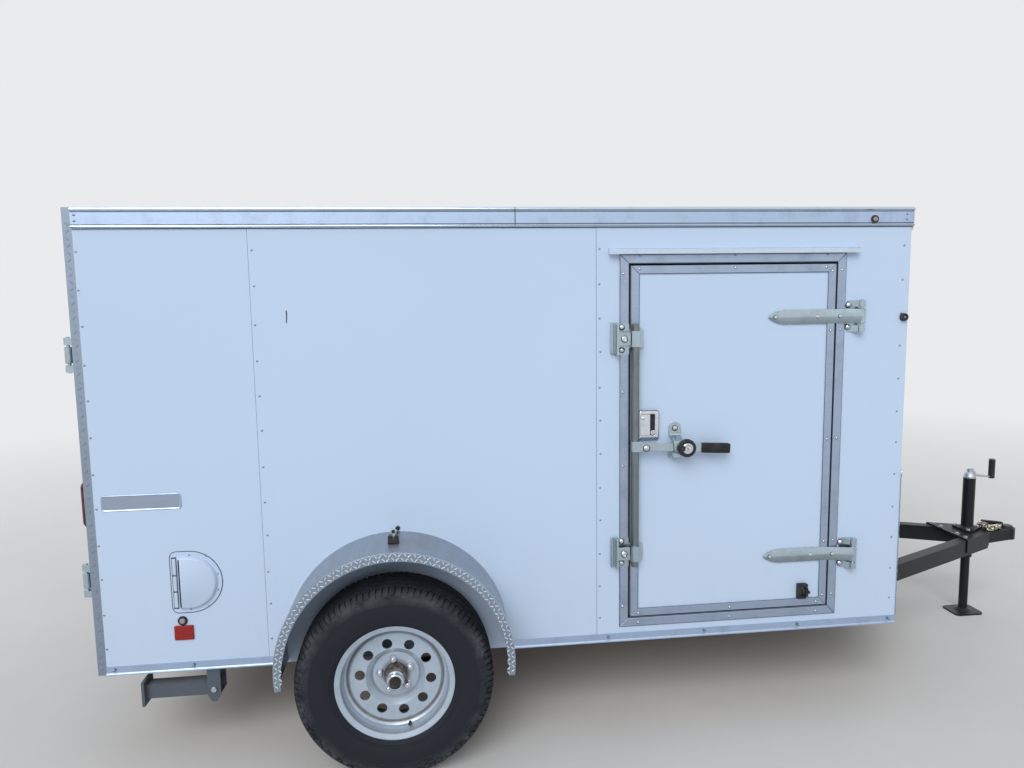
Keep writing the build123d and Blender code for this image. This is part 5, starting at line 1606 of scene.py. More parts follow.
@dataclass
class Skin:
    """The side sheets: their laps, rivets and screws, the bare badge and, on the right, a scuff."""

    side: Side
    lap_wide: float = 0.045
    lap_proud: float = 0.0010
    lap_bottom: float = 0.030
    lap_top: float = 0.068
    seam_inset: float = 0.013
    edge_inset: float = 0.008
    front_inset: float = 0.028
    top_rivet: float = 1.834
    rivet_pitch: float = 0.1266
    rivet_count: int = 12
    rivet_slip: float = 0.0025
    skirt_screw_rise: float = 0.019
    skirt_screw_pitch: float = 0.394
    skirt_screw_ends: Triple = (0.028, 0.299, 0.03)
    badge_rear: float = 0.024
    badge_long: float = 0.268
    badge_low: float = 0.938
    badge_tall: float = 0.056
    badge_corner: float = 0.012
    badge_rim: float = 0.0045
    scuff_ahead: float = 0.118
    scuff_height: float = 1.604

    def __post_init__(self) -> None:
        """Reads where the sheets meet."""
        rear_low, rear_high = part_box(f"wall_{self.side.label}_rear")
        front_low, front_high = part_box(f"wall_{self.side.label}_front")
        self.rear, self.front = rear_low.x, front_high.x
        self.seams = (rear_high.x, front_low.x)
        self.face = max(abs(rear_low.y), abs(rear_high.y))
        self.trim_low, self.trim_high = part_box("edge_trim")

    def spot(self, forward: float, height: float, proud: float = 0.0) -> Matrix:
        """A plane on the sheets, its last axis outward."""
        return on_side(self.side, forward, height, self.face + proud)

    def build(self) -> None:
        """Makes the laps, the rivets, the screws and the badge."""
        self.laps()
        self.fixings()
        self.badge()
        if self.side is Side.RIGHT:
            self.scuff()

    def laps(self) -> None:
        """Raises each forward sheet's rear edge over the sheet behind it, with a thin dark strip of painted shade along
        that edge.
        """
        shape = Shape(Finishes.ENAMEL)
        low, top = self.trim_low.z + self.lap_bottom, self.trim_high.z - self.lap_top
        for seam in self.seams:
            shape.use(Finishes.ENAMEL).skin([[
                shape.mesh.verts.new(Vector((seam + ahead, self.side.value * (self.face + proud), height)))
                for ahead, proud in ((0.0, -0.0005), (0.0, self.lap_proud), (self.lap_wide, 0.0001),
                                     (self.lap_wide, -0.0005))] for height in (low, top)])
            half = (top - low) / 2
            # painted shade: a thin dark strip along the seam's edge
            shape.use(Finishes.SHADE).prism(self.spot(seam, (low + top) / 2), oblong(-0.0011, -half, 0.0002, half),
                                            -0.0003, 0.0005)
        shape.make(f"sheet_laps_{self.side.label}", "skin", smooth=15.0)

    def fixings(self) -> None:
        """Sets the rows of rivets along the sheets' edges and the screws in the skirt."""
        shape = Shape(Finishes.FIXING)
        seam_proud = self.lap_proud * (1 - self.seam_inset / self.lap_wide)
        rows = [(self.rear + self.edge_inset, 0.0), *((seam + self.seam_inset, seam_proud) for seam in self.seams),
                (self.front - self.front_inset, 0.0)]
        for forward, proud in rows:
            for index in range(self.rivet_count):
                slip = RANDOM.uniform(-self.rivet_slip, self.rivet_slip)
                rivet(shape, self.spot(forward + slip, self.top_rivet - self.rivet_pitch * index + 2 * slip, proud))
        first, second, last = self.skirt_screw_ends
        for forward in (self.rear + first, *evenly(self.rear + second, self.front - last, self.skirt_screw_pitch)):
            screw(shape, self.spot(forward, self.trim_low.z + self.skirt_screw_rise, self.trim_high.y - self.face))
        shape.make(f"side_fixings_{self.side.label}", "zinc_steel")

    def badge(self) -> None:
        """Makes the bare silver badge low at the rear, with its raised rim."""
        shape = Shape(Finishes.BADGE)
        middle = self.spot(self.rear + self.badge_rear + self.badge_long / 2, self.badge_low + self.badge_tall / 2)
        outer = rounded(self.badge_long, self.badge_tall, self.badge_corner, 6)
        shape.prism(middle, outer, 0.0, 0.0022, 0.0008)
        shape.use(Finishes.TRIM).stack(
            middle, outer, [(0.0, 0.0020), (0.4 * self.badge_rim, 0.0034), (self.badge_rim, 0.0022)], caps=False)
        shape.make(f"bare_badge_{self.side.label}", "trim_aluminium")

    def scuff(self) -> None:
        """Makes the small dark scuff on the rear sheet."""
        shape = Shape(Finishes.GAP)
        outline = [(-0.0022, -0.022), (0.0006, -0.024), (0.0026, -0.006), (0.0030, 0.012), (0.0012, 0.024),
                   (-0.0016, 0.019), (-0.0008, 0.002)]
        shape.prism(self.spot(self.seams[0] + self.scuff_ahead, self.scuff_height), outline, -0.0002, 0.00025)
        shape.make("wall_scuff", "skin")


@dataclass
class MitredFrame:
    """Four strips of bright moulding round an opening, mitred at the corners.

    The outer edges and the strips' widths are given left, bottom, right and top.
    """

    name: str
    body: Body
    place: Matrix
    outer: tuple[float, float, float, float]
    widths: tuple[float, float, float, float]
    proud: float
    finish: Finish
    mitre_gap: float = 0.0011
    edge: float = 0.0012
    sunk: float = 0.0005

    def build(self) -> None:
        """Makes the four strips as one piece."""
        shape = Shape(self.finish)
        left, bottom, right, top = self.outer
        left_in, bottom_in = left + self.widths[0], bottom + self.widths[1]
        right_in, top_in = right - self.widths[2], top - self.widths[3]
        gap = self.mitre_gap / 2
        for strip in (
                [(left, bottom + gap), (left_in, bottom_in + gap), (left_in, top_in - gap), (left, top - gap)],
                [(left + gap, bottom), (right - gap, bottom), (right_in - gap, bottom_in), (left_in + gap, bottom_in)],
                [(right, bottom + gap), (right, top - gap), (right_in, top_in - gap), (right_in, bottom_in + gap)],
                [(left + gap, top), (left_in + gap, top_in), (right_in - gap, top_in), (right - gap, top)]):
            shape.prism(self.place, strip, -self.sunk, self.proud, self.edge)
        shape.make(self.name, "trim_aluminium", self.body, 20.0)


@dataclass
class DripCap:
    """The rounded moulding over the side door, with the screws under its lip."""

    skin: float = 0.0007
    tall: float = 0.022
    lip: float = 0.0045
    round_over: float = 0.006
    screw_drop: float = 0.027
    screw_end: float = 0.118
    screw_out: float = 0.004

    def build(self) -> None:
        """Makes the bright rounded face of the moulding and its screws."""
        low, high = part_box("side_door_frame")
        out = abs(low.y) - wall_out() + self.skin
        shape = Shape(Finishes.BEADING)
        crown = [(out - self.round_over * (1 - math.sin(angle)), -self.round_over * (1 - math.cos(angle)) - 0.002)
                 for angle in evenly(0.0, math.pi / 2, 0.26)]
        profile = [(0.0, self.skin), *crown, (out, -self.tall), (out - self.lip, -self.tall), (out - self.lip, -0.016),
                   (0.0, -0.012)]
        shape.skin([[shape.mesh.verts.new(Vector((forward, -(wall_out() + away), high.z + up)))
                     for away, up in profile] for forward in (low.x - self.skin, high.x + self.skin)])
        shape.use(Finishes.FIXING)
        for forward in (low.x + self.screw_end, (low.x + high.x) / 2, high.x - self.screw_end):
            screw(shape, on_side(Side.RIGHT, forward, high.z - self.screw_drop, wall_out() + self.screw_out))
        shape.make("drip_cap", "trim_aluminium", smooth=40.0)


@dataclass
class SideDoor:
    """The side door's dressing: trims, rivets, seal, latch, hasp, round lock and keeper channels.

    Heights are over the ground. Places forward are from the door's rear edge, and the channels' from its frame's.
    Insets are from the front, the rear and the lower edge of the frame, and from the front and both ends of the door.
    """

    frame_wide: float = 0.034
    frame_proud: float = 0.0012
    frame_out: float = 0.004
    frame_edges: tuple[float, float, float, float] = (0.042, 0.040, 0.040, 0.040)
    trim_wide: float = 0.030
    trim_proud: float = 0.0010
    joint: float = 0.0012
    door_gap: float = 0.006
    seal_gap: float = 0.0055
    pair_heights: tuple[float, ...] = (1.742, 1.519, 1.100, 0.694, 0.476)
    bar_side_heights: tuple[float, ...] = (1.740, 1.305, 1.026, 0.479)
    row_shares: tuple[float, ...] = (0.04, 0.502, 0.95)
    frame_insets: Triple = (0.017, 0.012, 0.014)
    door_insets: Point = (0.015, 0.012)
    pair_lift: float = 0.003
    latch_wide: float = 0.074
    latch_tall: float = 0.108
    latch_at: Point = (0.067, 1.179)
    latch_out: float = 0.7724
    hasp_forward: float = 0.169
    hasp_heights: Point = (1.160, 1.068)
    lever_bolt_at: Point = (0.047, 1.1000)
    lever_face: float = 0.812
    channel_forward: float = 0.0205
    channel_heights: Point = (1.505, 0.697)
    lock_radius: float = 0.0335
    lock_turn: float = 35.0

    def __post_init__(self) -> None:
        """Reads the door's and the frame's places."""
        self.low, self.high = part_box("side_door")
        self.frame_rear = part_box("side_door_frame")[0].x
        self.face = abs(self.low.y)
        rear, bottom, front, top = self.frame_edges
        self.outer = (self.low.x - rear, self.low.z - bottom, self.high.x + front, self.high.z + top)

    def spot(self, forward: float, height: float, out: float) -> Matrix:
        """A plane in front of the door, its last axis outward."""
        return on_side(Side.RIGHT, forward, height, out)

    def on_door(self, at: Point, out: float) -> Matrix:
        """A plane at a place forward of the door's rear edge and at a height."""
        return self.spot(self.low.x + at[0], at[1], out)

    def build(self) -> None:
        """Makes the door's pieces."""
        self.trims()
        self.rivets()
        self.seal()
        self.latch()
        self.hasp()
        self.round_lock()
        self.keeper_channels()

    def trims(self) -> None:
        """Makes the mitred mouldings of the frame and of the door."""
        left, bottom, right, top = self.outer
        joint, wide = self.joint, self.trim_wide
        front = right - (self.high.x + self.door_gap)
        MitredFrame("door_frame_moulding", Body.TRAILER, self.spot(0.0, 0.0, wall_out() + self.frame_out),
                    (left + joint, bottom + joint, right - joint, top - joint),
                    (self.frame_wide - 2 * joint, self.frame_wide - 2 * joint, front - 2 * joint,
                     self.frame_wide - 3 * joint), self.frame_proud, Finishes.MOULDING).build()
        for name, grown, proud, finish, edge in (("_shadow", joint, 0.0004, Finishes.SHADE, 0.0),
                                                 ("", 0.0, self.trim_proud, Finishes.MOULDING, MitredFrame.edge)):
            MitredFrame(f"side_door_moulding{name}", Body.SIDE_DOOR, self.spot(0.0, 0.0, self.face),
                        (self.low.x, self.low.z, self.high.x, self.high.z), (wide + grown,) * 4, proud, finish,
                        edge=edge).build()

    def rivets(self) -> None:
        """Sets the rivets along both mouldings, each on a dark ring of painted shade."""
        left, bottom, right, _ = self.outer
        frame_out = wall_out() + self.frame_out + self.frame_proud
        door_out = self.face + self.trim_proud
        front, rear, low = self.frame_insets
        door_front, ends = self.door_insets
        fixed = [self.spot(right - front, height + self.pair_lift, frame_out) for height in self.pair_heights]
        fixed += [self.spot(left + rear, height, frame_out) for height in self.bar_side_heights]
        moving = [self.spot(self.high.x - door_front, height, door_out) for height in self.pair_heights]
        for share in self.row_shares:
            forward = self.low.x + share * (self.high.x - self.low.x)
            moving += [self.spot(forward, height, door_out) for height in (self.high.z - ends, self.low.z + ends)]
            fixed += [self.spot(forward, bottom + low, frame_out)]
        for name, body, places in (("door_frame_rivets", Body.TRAILER, fixed),
                                   ("side_door_rivets", Body.SIDE_DOOR, moving)):
            shape = Shape(Finishes.SHADE)
            for place in places:
                # painted shade: a dark ring under each rivet head
                shape.use(Finishes.SHADE).washer(place, 0.0052, -0.0005, 0.0002, 0.0004, 16)
                rivet(shape.use(Finishes.CHROME), place, 0.0040, 0.0018)
            shape.make(name, "zinc_steel", body)

    def seal(self) -> None:
        """Makes the black seal that lines the gap round the door."""
        shape = Shape(Finishes.GAP)
        outline = oblong(self.outer[0] + self.frame_wide + 0.0002, self.low.z - self.seal_gap,
                         self.high.x + self.seal_gap, self.high.z + self.seal_gap)
        shape.stack(self.spot(0.0, 0.0, wall_out() - 0.010), outline,
                    [(0.0, -0.014), (0.0, -0.003), (0.0018, -0.001), (0.0034, -0.004), (0.0072, -0.009),
                     (0.0072, -0.014)], looped=True)
        shape.make("door_seal", "black_rubber")

    def latch(self) -> None:
        """Makes the flush latch: chromed bezel, sunk paddle, finger slot floored with painted shade, and key cylinder.
        """
        shape = Shape(Finishes.CHROME)
        middle = self.on_door(self.latch_at, self.latch_out)
        outer = rounded(self.latch_wide, self.latch_tall, 0.009)
        opening = [(across - 0.004, up + 0.002)
                   for across, up in rounded(self.latch_wide - 0.019, self.latch_tall - 0.028, 0.003)]
        rings = [shape.ring(middle, [(across, up, level) for across, up in inset(outline, away)])
                 for outline, away, level in ((outer, 0.0, -0.0008), (outer, 0.0, 0.0014), (outer, 0.0022, 0.0026),
                                              (opening, -0.0012, 0.0026), (opening, 0.0, 0.0016),
                                              (opening, 0.0, 0.0002))]
        shape.skin(rings, caps=False)
        # painted shade: a dark sheet on the opening's floor stands in for the shade deep in the finger slot
        shape.use(Finishes.GAP).prism(middle, opening, 0.0001, 0.0003)
        left = min(across for across, _ in opening)
        low, high = min(up for _, up in opening), max(up for _, up in opening)
        paddle = left + 0.0360
        sheet = [(left + 0.001, 0.0009), (left + 0.006, 0.0017), (left + 0.020, 0.0013), (paddle - 0.003, 0.0022),
                 (paddle, 0.0014), (paddle, 0.0003), (left + 0.001, 0.0003)]
        shape.use(Finishes.CHROME).skin([shape.ring(middle, [(across, up, level) for across, level in sheet])
                                         for up in (low + 0.001, high - 0.001)])
        rivet(shape, shifted(middle, left + 0.0095, high - 0.0150, 0.0015), 0.0058, 0.0022)
        cylinder = shifted(middle, paddle + 0.0095, low + 0.0105)
        shape.knob(cylinder, [(0.0088, 0.0), (0.0088, 0.0030), (0.0078, 0.0042)])
        # the key slot is a dark bar of painted shade
        shape.use(Finishes.GAP).prism(cylinder, upright_bar(0.0008, 0.0042), 0.004, 0.00435)
        shape.make("flush_latch", "zinc_steel", Body.SIDE_DOOR)

    def hasp(self) -> None:
        """Makes the hasp: the tab riveted over the lever, its bent strap and the round plate below.

        The strap's sections are a height, how far out, and half the width there.
        """
        shape = Shape(Finishes.ZINC)
        forward = self.low.x + self.hasp_forward
        half, thick, skin = 0.0245, 0.004, self.face - 0.003
        tab = [*bend(half, evenly(0, math.pi, 0.25), (0.0, 0.004)), (-half, -0.016), (half, -0.016)]
        crown = self.spot(forward, self.hasp_heights[0], skin)
        shape.prism(crown, tab, 0.0002, 0.0052, 0.001)
        shape.skin([[shape.mesh.verts.new(Vector((forward + across, -(skin + out + lift), height)))
                     for across, lift in oblong(-narrow, 0.0, narrow, thick)]
                    for height, out, narrow in ((1.1445, 0.0012, 0.0235), (1.1380, 0.0050, 0.021),
                                                (1.1300, 0.0300, 0.019), (1.1240, 0.0480, 0.019),
                                                (1.1150, 0.0515, 0.019), (1.0830, 0.0515, 0.018),
                                                (1.0780, 0.0490, 0.017))])
        low = self.spot(forward - 0.004, self.hasp_heights[1], skin)
        shape.knob(low, [(0.0225, 0.0002), (0.0225, 0.0040), (0.0212, 0.0052)], 36)
        shape.prism(low, rounded(0.030, 0.022, 0.004), 0.003, 0.0440, 0.002)
        # painted shade: a dark ring round the latch's bezel stands in for its shadow outline
        shape.use(Finishes.SHADE).stack(
            self.on_door(self.latch_at, self.latch_out),
            rounded(self.latch_wide + 0.003, self.latch_tall + 0.003, 0.010),
            [(0.0, -0.004), (0.0, 0.0006), (0.004, 0.0006), (0.004, -0.004)], looped=True)
        # the dark washers under the two rivet heads are rings of painted shade
        for place, radius in ((shifted(crown, 0.0, 0.004, 0.0052), 0.0118),
                              (self.on_door(self.lever_bolt_at, self.lever_face), 0.0140)):
            shape.use(Finishes.SHADE).washer(place, radius, -0.001, 0.0004, 0.0006, 28)
            rivet(shape.use(Finishes.CHROME), place, 0.80 * radius, 0.0052)
        shape.make("hasp_and_lever_bolt", "zinc_steel", Body.SIDE_DOOR)

    def keeper_channels(self) -> None:
        """Makes the channel strips beside the keepers, on the wall's side."""
        shape = Shape(Finishes.ZINC)
        for height in self.channel_heights:
            base = self.spot(self.frame_rear + self.channel_forward, height, wall_out() + self.frame_out)
            # the narrow dark strip is painted shade between the channel and its lip
            for shift, wide, tall, corner, low, high, edge, finish in (
                    (0.0, 0.027, 0.114, 0.003, 0.0010, 0.0072, 0.0010, Finishes.ZINC),
                    (-0.0095, 0.007, 0.112, 0.002, 0.0060, 0.0145, 0.0012, Finishes.ZINC),
                    (-0.0050, 0.0022, 0.110, 0.001, 0.0060, 0.0076, 0.0, Finishes.SHADE)):
                shape.use(finish).prism(shifted(base, shift, 0.0), rounded(wide, tall, corner), low, high, edge)
        shape.make("keeper_channels", "zinc_steel")

    def round_lock(self) -> None:
        """Makes the round lock: black band, silver face, turned step and key slot."""
        low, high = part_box("padlock")
        middle = (low + high) / 2.0 + Vector((-0.018, 0.0, 0.010))
        place = self.spot(middle.x, middle.z, abs(high.y) + 0.003)
        deep = abs(low.y) - abs(high.y) - 0.003
        radius = self.lock_radius
        shape = Shape(Finishes.BLACK_PLASTIC)
        shape.knob(place, [(radius - 0.004, 0.0), (radius, 0.004), (radius, deep - 0.0065),
                           (radius - 0.0018, deep - 0.0025), (radius - 0.0050, deep), (0.0215, deep),
                           (0.0203, deep - 0.0022)], 56)
        shape.use(Finishes.CHROME).knob(place, [
            (0.0200, deep - 0.003), (0.0198, deep - 0.0008), (0.0182, deep), (0.0150, deep), (0.0140, deep - 0.0014),
            (0.0110, deep - 0.0016), (0.0100, deep - 0.0002), (0.0088, deep)], 48)
        # the key slot is a dark bar of painted shade
        shape.use(Finishes.GAP).prism(turned(place, math.radians(self.lock_turn)), upright_bar(0.0011, 0.0052),
                                      deep - 0.0002, deep + 0.0003)
        notch = bend(0.0196, evenly(2.5, 3.7, 0.2)) + bend(0.0118, evenly(3.7, 2.5, 0.2))
        shape.prism(place, notch, deep - 0.001, deep + 0.0003)
        shape.make("round_lock", "padlock_black", Body.SIDE_DOOR, 26.0, ["padlock"])


@dataclass
class DoorGear:
    """A door's hinge straps with their rivets, its cam bar with guides and cams, and its lever with a grip.

    The pin and the bar are given as places across the door and outward, and the lever as its start, end, height
    and face.
    """

    name: str
    body: Body
    node: str
    plane: Matrix
    way: int
    skin: float
    pin: Point
    bar: Point
    bar_ends: Point
    straps: tuple[float, ...]
    guides: tuple[float, ...]
    cams: tuple[float, ...]
    lever: tuple[float, float, float, float]
    butt_bolts: bool = False
    strap_long: float = 0.360
    strap_half: float = 0.0265
    strap_flat: float = 0.105
    strap_rivets: Triple = (0.336, 0.170, 0.083)
    bar_radius: float = 0.0138
    guide_half: float = 0.0290
    lever_half: float = 0.0150
    lever_drop: float = 0.0
    grip_long: float = 0.109
    grip_ribs: int = 11
    grip_pitch: float = 0.0085
    bolt_rise: float = 0.0415

    def at(self, across: float, height: float, out: float) -> Matrix:
        """A plane on the door, its last axis outward."""
        return shifted(self.plane, self.way * across, height, out)

    def upright(self, across: float, height: float, out: float) -> Matrix:
        """An upright axis in front of the door."""
        return Matrix.Translation(self.at(across, height, out).translation)

    def slab(self, shape: Shape, outline: Sequence[Point], low: float, high: float) -> None:
        """Adds an upright bar with an outline of places across and outward."""
        shape.skin([shape.ring(self.plane, [(self.way * across, level, out) for across, out in outline])
                    for level in (low, high)])

    def build(self) -> None:
        """Makes the gear."""
        self.make_straps()
        self.make_bar()
        self.make_lever()
        self.make_grip()
        self.bolts()

    def strap_face(self, back: float) -> float:
        """How far out a strap's face is.

        Args:
            back: the distance back from the pin.

        Returns:
            The distance out, from where the door's plane starts.
        """
        flat = self.skin + 0.0045
        share = max(0.0, 1.0 - back / self.strap_flat)
        return flat + (self.pin[1] + 0.0120 - flat) * share

    def make_straps(self) -> None:
        """Makes the ridged straps, their knuckles and rivets."""
        shape = Shape(Finishes.ZINC)
        half, long = self.strap_half, self.strap_long
        knuckle = 2 * half + 0.003
        for height in self.straps:
            rings = []
            for back, wide, crest in ((long, 0.0035, 0.0006), (long - 0.009, 0.0100, 0.0012),
                                      (long - 0.034, 0.0215, 0.0020), (long - 0.060, half, 0.0042),
                                      (self.strap_flat, half, 0.0042), (0.045, half, 0.0042), (0.004, half, 0.0022)):
                face = self.strap_face(back)
                section = ((-wide, face - 0.0042), (-wide, face - 0.0012), (-0.08 * wide, face + crest),
                           (0.08 * wide, face + crest), (wide, face - 0.0012), (wide, face - 0.0042))
                rings.append(shape.ring(self.plane, [(self.way * (self.pin[0] - back), height + rise, out)
                                                     for rise, out in section]))
            shape.use(Finishes.ZINC).skin(rings)
            shape.knob(self.upright(self.pin[0], height - half - 0.0015, self.pin[1]),
                       [(0.0118, 0.0), (0.0128, 0.001), (0.0128, knuckle - 0.001), (0.0118, knuckle)])
            for back in self.strap_rivets:
                seat = self.at(self.pin[0] - back, height, self.strap_face(back) + 0.0034)
                # painted shade: a dark ring under each strap rivet
                shape.use(Finishes.SHADE).washer(seat, 0.0082, -0.002, -0.0002, 0.0, 20)
                rivet(shape.use(Finishes.CHROME), seat, 0.0068, 0.0034)
        shape.make(f"{self.name}_straps", "zinc_steel", self.body, 20.0, [self.node])

    def make_bar(self) -> None:
        """Makes the bar, its guides on the door and the cams at its keepers."""
        shape = Shape(Finishes.BAR)
        across, out = self.bar
        long = self.bar_ends[1] - self.bar_ends[0]
        radius = self.bar_radius
        shape.lathe(self.upright(across, self.bar_ends[0], out),
                    [(0.0, 0.002), (0.65 * radius, 0.0), (0.9 * radius, 0.0), (radius, 0.0015),
                     (radius, long - 0.0015), (0.9 * radius, long), (0.65 * radius, long), (0.0, long - 0.002)], 32)
        wide, half = radius + 0.0038, self.guide_half
        shape.use(Finishes.ZINC)
        for height in self.guides:
            self.slab(shape, [(across - wide, self.skin + 0.0002), (across - wide, out + 0.0120),
                              (across - wide + 0.006, out + 0.0178), (across + wide - 0.006, out + 0.0178),
                              (across + wide, out + 0.0120), (across + wide, self.skin + 0.0002)],
                      height - half, height + half)
            shape.prism(self.at(across + 0.004, height, self.skin), rounded(0.062, 2 * half + 0.012, 0.006),
                        0.0002, 0.0032, 0.0008)
        for height in self.cams:
            plate = self.at(across - 0.044, height, out)
            shape.use(Finishes.ZINC).prism(plate, rounded(0.048, 0.050, 0.003), 0.0020, 0.0078, 0.0012)
            # painted shade: a dark ring under the cam's knob
            shape.use(Finishes.SHADE).washer(plate, 0.0135, 0.006, 0.0082, 0.0084, 28)
            shape.use(Finishes.CHROME).knob(plate, [(0.0108, 0.0082), (0.0108, 0.0098), (0.0075, 0.0122),
                                                    (0.0070, 0.0098)])
        shape.make(f"{self.name}_bar", "zinc_steel", self.body, 30.0)

    def lever_tilt(self, place: Matrix) -> Matrix:
        """A place turned by how much the lever droops."""
        start, end = self.lever[:2]
        return turned(place, -self.way * self.lever_drop / (end - start))

    def make_lever(self) -> None:
        """Makes the flat lever with its end turned round the bar."""
        start, end, height, face = self.lever
        shape = Shape(Finishes.ZINC)
        long, half = end - start, self.lever_half
        middle = shifted(self.lever_tilt(self.at(start, height, face)), self.way * long / 2, 0.0)
        shape.prism(middle, rounded(long, 2 * half, 0.004), -0.008, 0.0, 0.0010)
        wide = self.bar_radius + 0.0030
        across, out = self.bar
        self.slab(shape, [(across - wide, out - 0.012), (across - wide, face - 0.005),
                          (across - wide + 0.005, face - 0.001), (across + wide, face - 0.001),
                          (across + wide, out - 0.012)], height - half - 0.004, height + half + 0.004)
        shape.make(f"{self.name}_lever", "zinc_steel", self.body)

    def make_grip(self) -> None:
        """Makes the ribbed black grip on the lever's end."""
        _, end, height, face = self.lever
        grip = Shape(Finishes.BLACK_PLASTIC)
        seat = turned(self.lever_tilt(self.at(end, height - self.lever_drop, face - 0.004)),
                      self.way * math.pi / 2, "Y")
        outline = rounded(0.021, 0.036, 0.003, 3)
        grip.stack(seat, outline, [(0.0015, -0.006), (0.0, -0.0045), (0.0, self.grip_long - 0.009),
                                   (0.002, self.grip_long - 0.006)])
        for index in range(self.grip_ribs):
            along = 0.006 + index * self.grip_pitch
            grip.stack(seat, outline, [(0.0004, along), (-0.0006, along + 0.0008), (-0.0006, along + 0.0030),
                                       (0.0004, along + 0.0038)])
        grip.make(f"{self.name}_lever_grip", "black_rubber", self.body, 30.0)

    def bolts(self) -> None:
        """Sets the bolts in the hinge butts and keepers, and the pins' heads."""
        shape = Shape(Finishes.ZINC)
        rows = ((self.pin[0] - 0.0436, self.straps, 0.0), (self.bar[0] - 0.048, self.cams, 0.004))
        for across, heights, lift in rows if self.butt_bolts else ():
            for height in heights:
                for rise in (-self.bolt_rise, self.bolt_rise):
                    seat = self.at(across, height + rise, self.skin + lift)
                    # painted shade: a dark ring under each bolt head
                    shape.use(Finishes.SHADE).washer(seat, 0.0118, -0.001, 0.0008, 0.0010, 24)
                    shape.use(Finishes.CHROME).knob(seat, [(0.0096, 0.0008), (0.0096, 0.0026), (0.0066, 0.0056),
                                                           (0.0030, 0.0066)], 20)
        shape.use(Finishes.ZINC)
        for height in self.straps:
            for level in (height - 0.0545, height + 0.0505):
                shape.lathe(self.upright(self.pin[0], level, self.pin[1]),
                            [(0.0, 0.0), (0.0072, 0.0), (0.0085, 0.0012), (0.0085, 0.003), (0.0068, 0.004),
                             (0.0, 0.0044)], 16)
        shape.make(f"{self.name}_bolts", "zinc_steel")


def door_gears() -> list[DoorGear]:
    """The gear of the side door and of both rear doors.

    Returns:
        The three doors' gear.
    """
    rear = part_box("side_door_frame")[0].x
    keepers = (1.503, 0.695)
    gears = [DoorGear("side_door", Body.SIDE_DOOR, "side_door_hardware", on_side(Side.RIGHT, 0.0, 0.0, 0.0), 1,
                      skin=0.766, pin=(0.7461, 0.784), bar=(rear + 0.0970, 0.786), bar_ends=(0.643, 1.558),
                      straps=(1.572, 0.645), guides=keepers, cams=keepers,
                      lever=(rear + 0.1100, 0.1210, 1.1060, 0.812), butt_bolts=True, lever_drop=0.012)]
    for side, way in ((Side.RIGHT, 1), (Side.LEFT, -1)):
        gears.append(DoorGear(f"rear_door_{side.label}", Body[f"REAR_DOOR_{side.name}"],
                              f"rear_hardware_{side.label}", on_rear(0.0, 0.0, 0.0), way, skin=2.0849,
                              pin=(0.738, 2.1069), bar=(0.090, 2.1089), bar_ends=(0.425, 1.910),
                              straps=(1.485, 0.686), guides=(0.700, 1.120, 1.600), cams=(),
                              lever=(0.102, 0.290, 1.088, 2.1229)))
    return gears


@dataclass
class Holdback:
    """What holds the open side door: its catch, and the rubber bumper on the side that the door meets.

    The catch's blocks are given left, bottom, right, top, start and end, as shares of its width, height and depth,
    and its spring as points in such shares.
    """

    forward: float = 0.929
    height: float = 1.564
    blocks: tuple[tuple[float, ...], ...] = (
        (0.02, 0.0, 0.70, 0.99, 0.02, 0.35), (0.26, 0.80, 0.72, 1.0, 0.30, 0.96), (0.02, 0.02, 0.24, 0.96, 0.30, 0.90),
        (0.22, 0.0, 0.66, 0.16, 0.30, 0.72), (0.60, 0.14, 0.78, 0.74, 0.05, 0.80))
    spring: tuple[Triple, ...] = ((0.36, 0.76, 0.40), (0.42, 0.66, 0.62), (0.52, 0.56, 0.68), (0.44, 0.44, 0.62),
                                  (0.52, 0.34, 0.60), (0.56, 0.22, 0.42))

    def build(self) -> None:
        """Makes the catch and the bumper."""
        self.catch()
        self.bumper()

    def catch(self) -> None:
        """Makes the catch: a cheeked rubber body with a cap, a bent spring in its recess and a round nose."""
        low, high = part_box("door_holdback")
        wide, tall, deep = high.x - low.x, high.z - low.z, high.y - low.y - 0.006
        corner = on_side(Side.RIGHT, low.x, low.z, -high.y)
        shape = Shape(Finishes.BLACK_PLASTIC)
        for left, bottom, right, top, start, end in self.blocks:
            shape.prism(shifted(corner, (left + right) / 2 * wide, (bottom + top) / 2 * tall),
                        rounded((right - left) * wide, (top - bottom) * tall, 0.0016, 3), start * deep, end * deep,
                        0.0010)
        shape.lathe(shifted(corner, 0.79 * wide, 0.44 * tall),
                    [(0.0, 0.001), (0.0062, 0.001), (0.0072, 0.003), (0.0072, 0.8 * deep), (0.0060, 0.95 * deep),
                     (0.0, 0.98 * deep)])
        shape.use(Finishes.BAR).tube([corner @ Vector((share * wide, level * tall, depth * deep))
                                      for share, level, depth in self.spring], 0.0016, 8)
        shape.make("door_catch", "black_rubber", Body.SIDE_DOOR, 40.0, ["door_holdback"])

    def bumper(self) -> None:
        """Makes the bumper with its washer and screw."""
        shape = Shape(Finishes.RUBBER)
        place = on_side(Side.RIGHT, self.forward, self.height, wall_out())
        shape.knob(place, [(0.0150, -0.0005), (0.0158, 0.003), (0.0140, 0.013), (0.0120, 0.0155), (0.0060, 0.0155),
                           (0.0050, 0.0110)], 28)
        shape.use(Finishes.FIXING).lathe(place, [(0.0, 0.0105), (0.0046, 0.0105), (0.0040, 0.0135), (0.0, 0.0142)], 12)
        shape.make("door_bumper", "black_rubber")


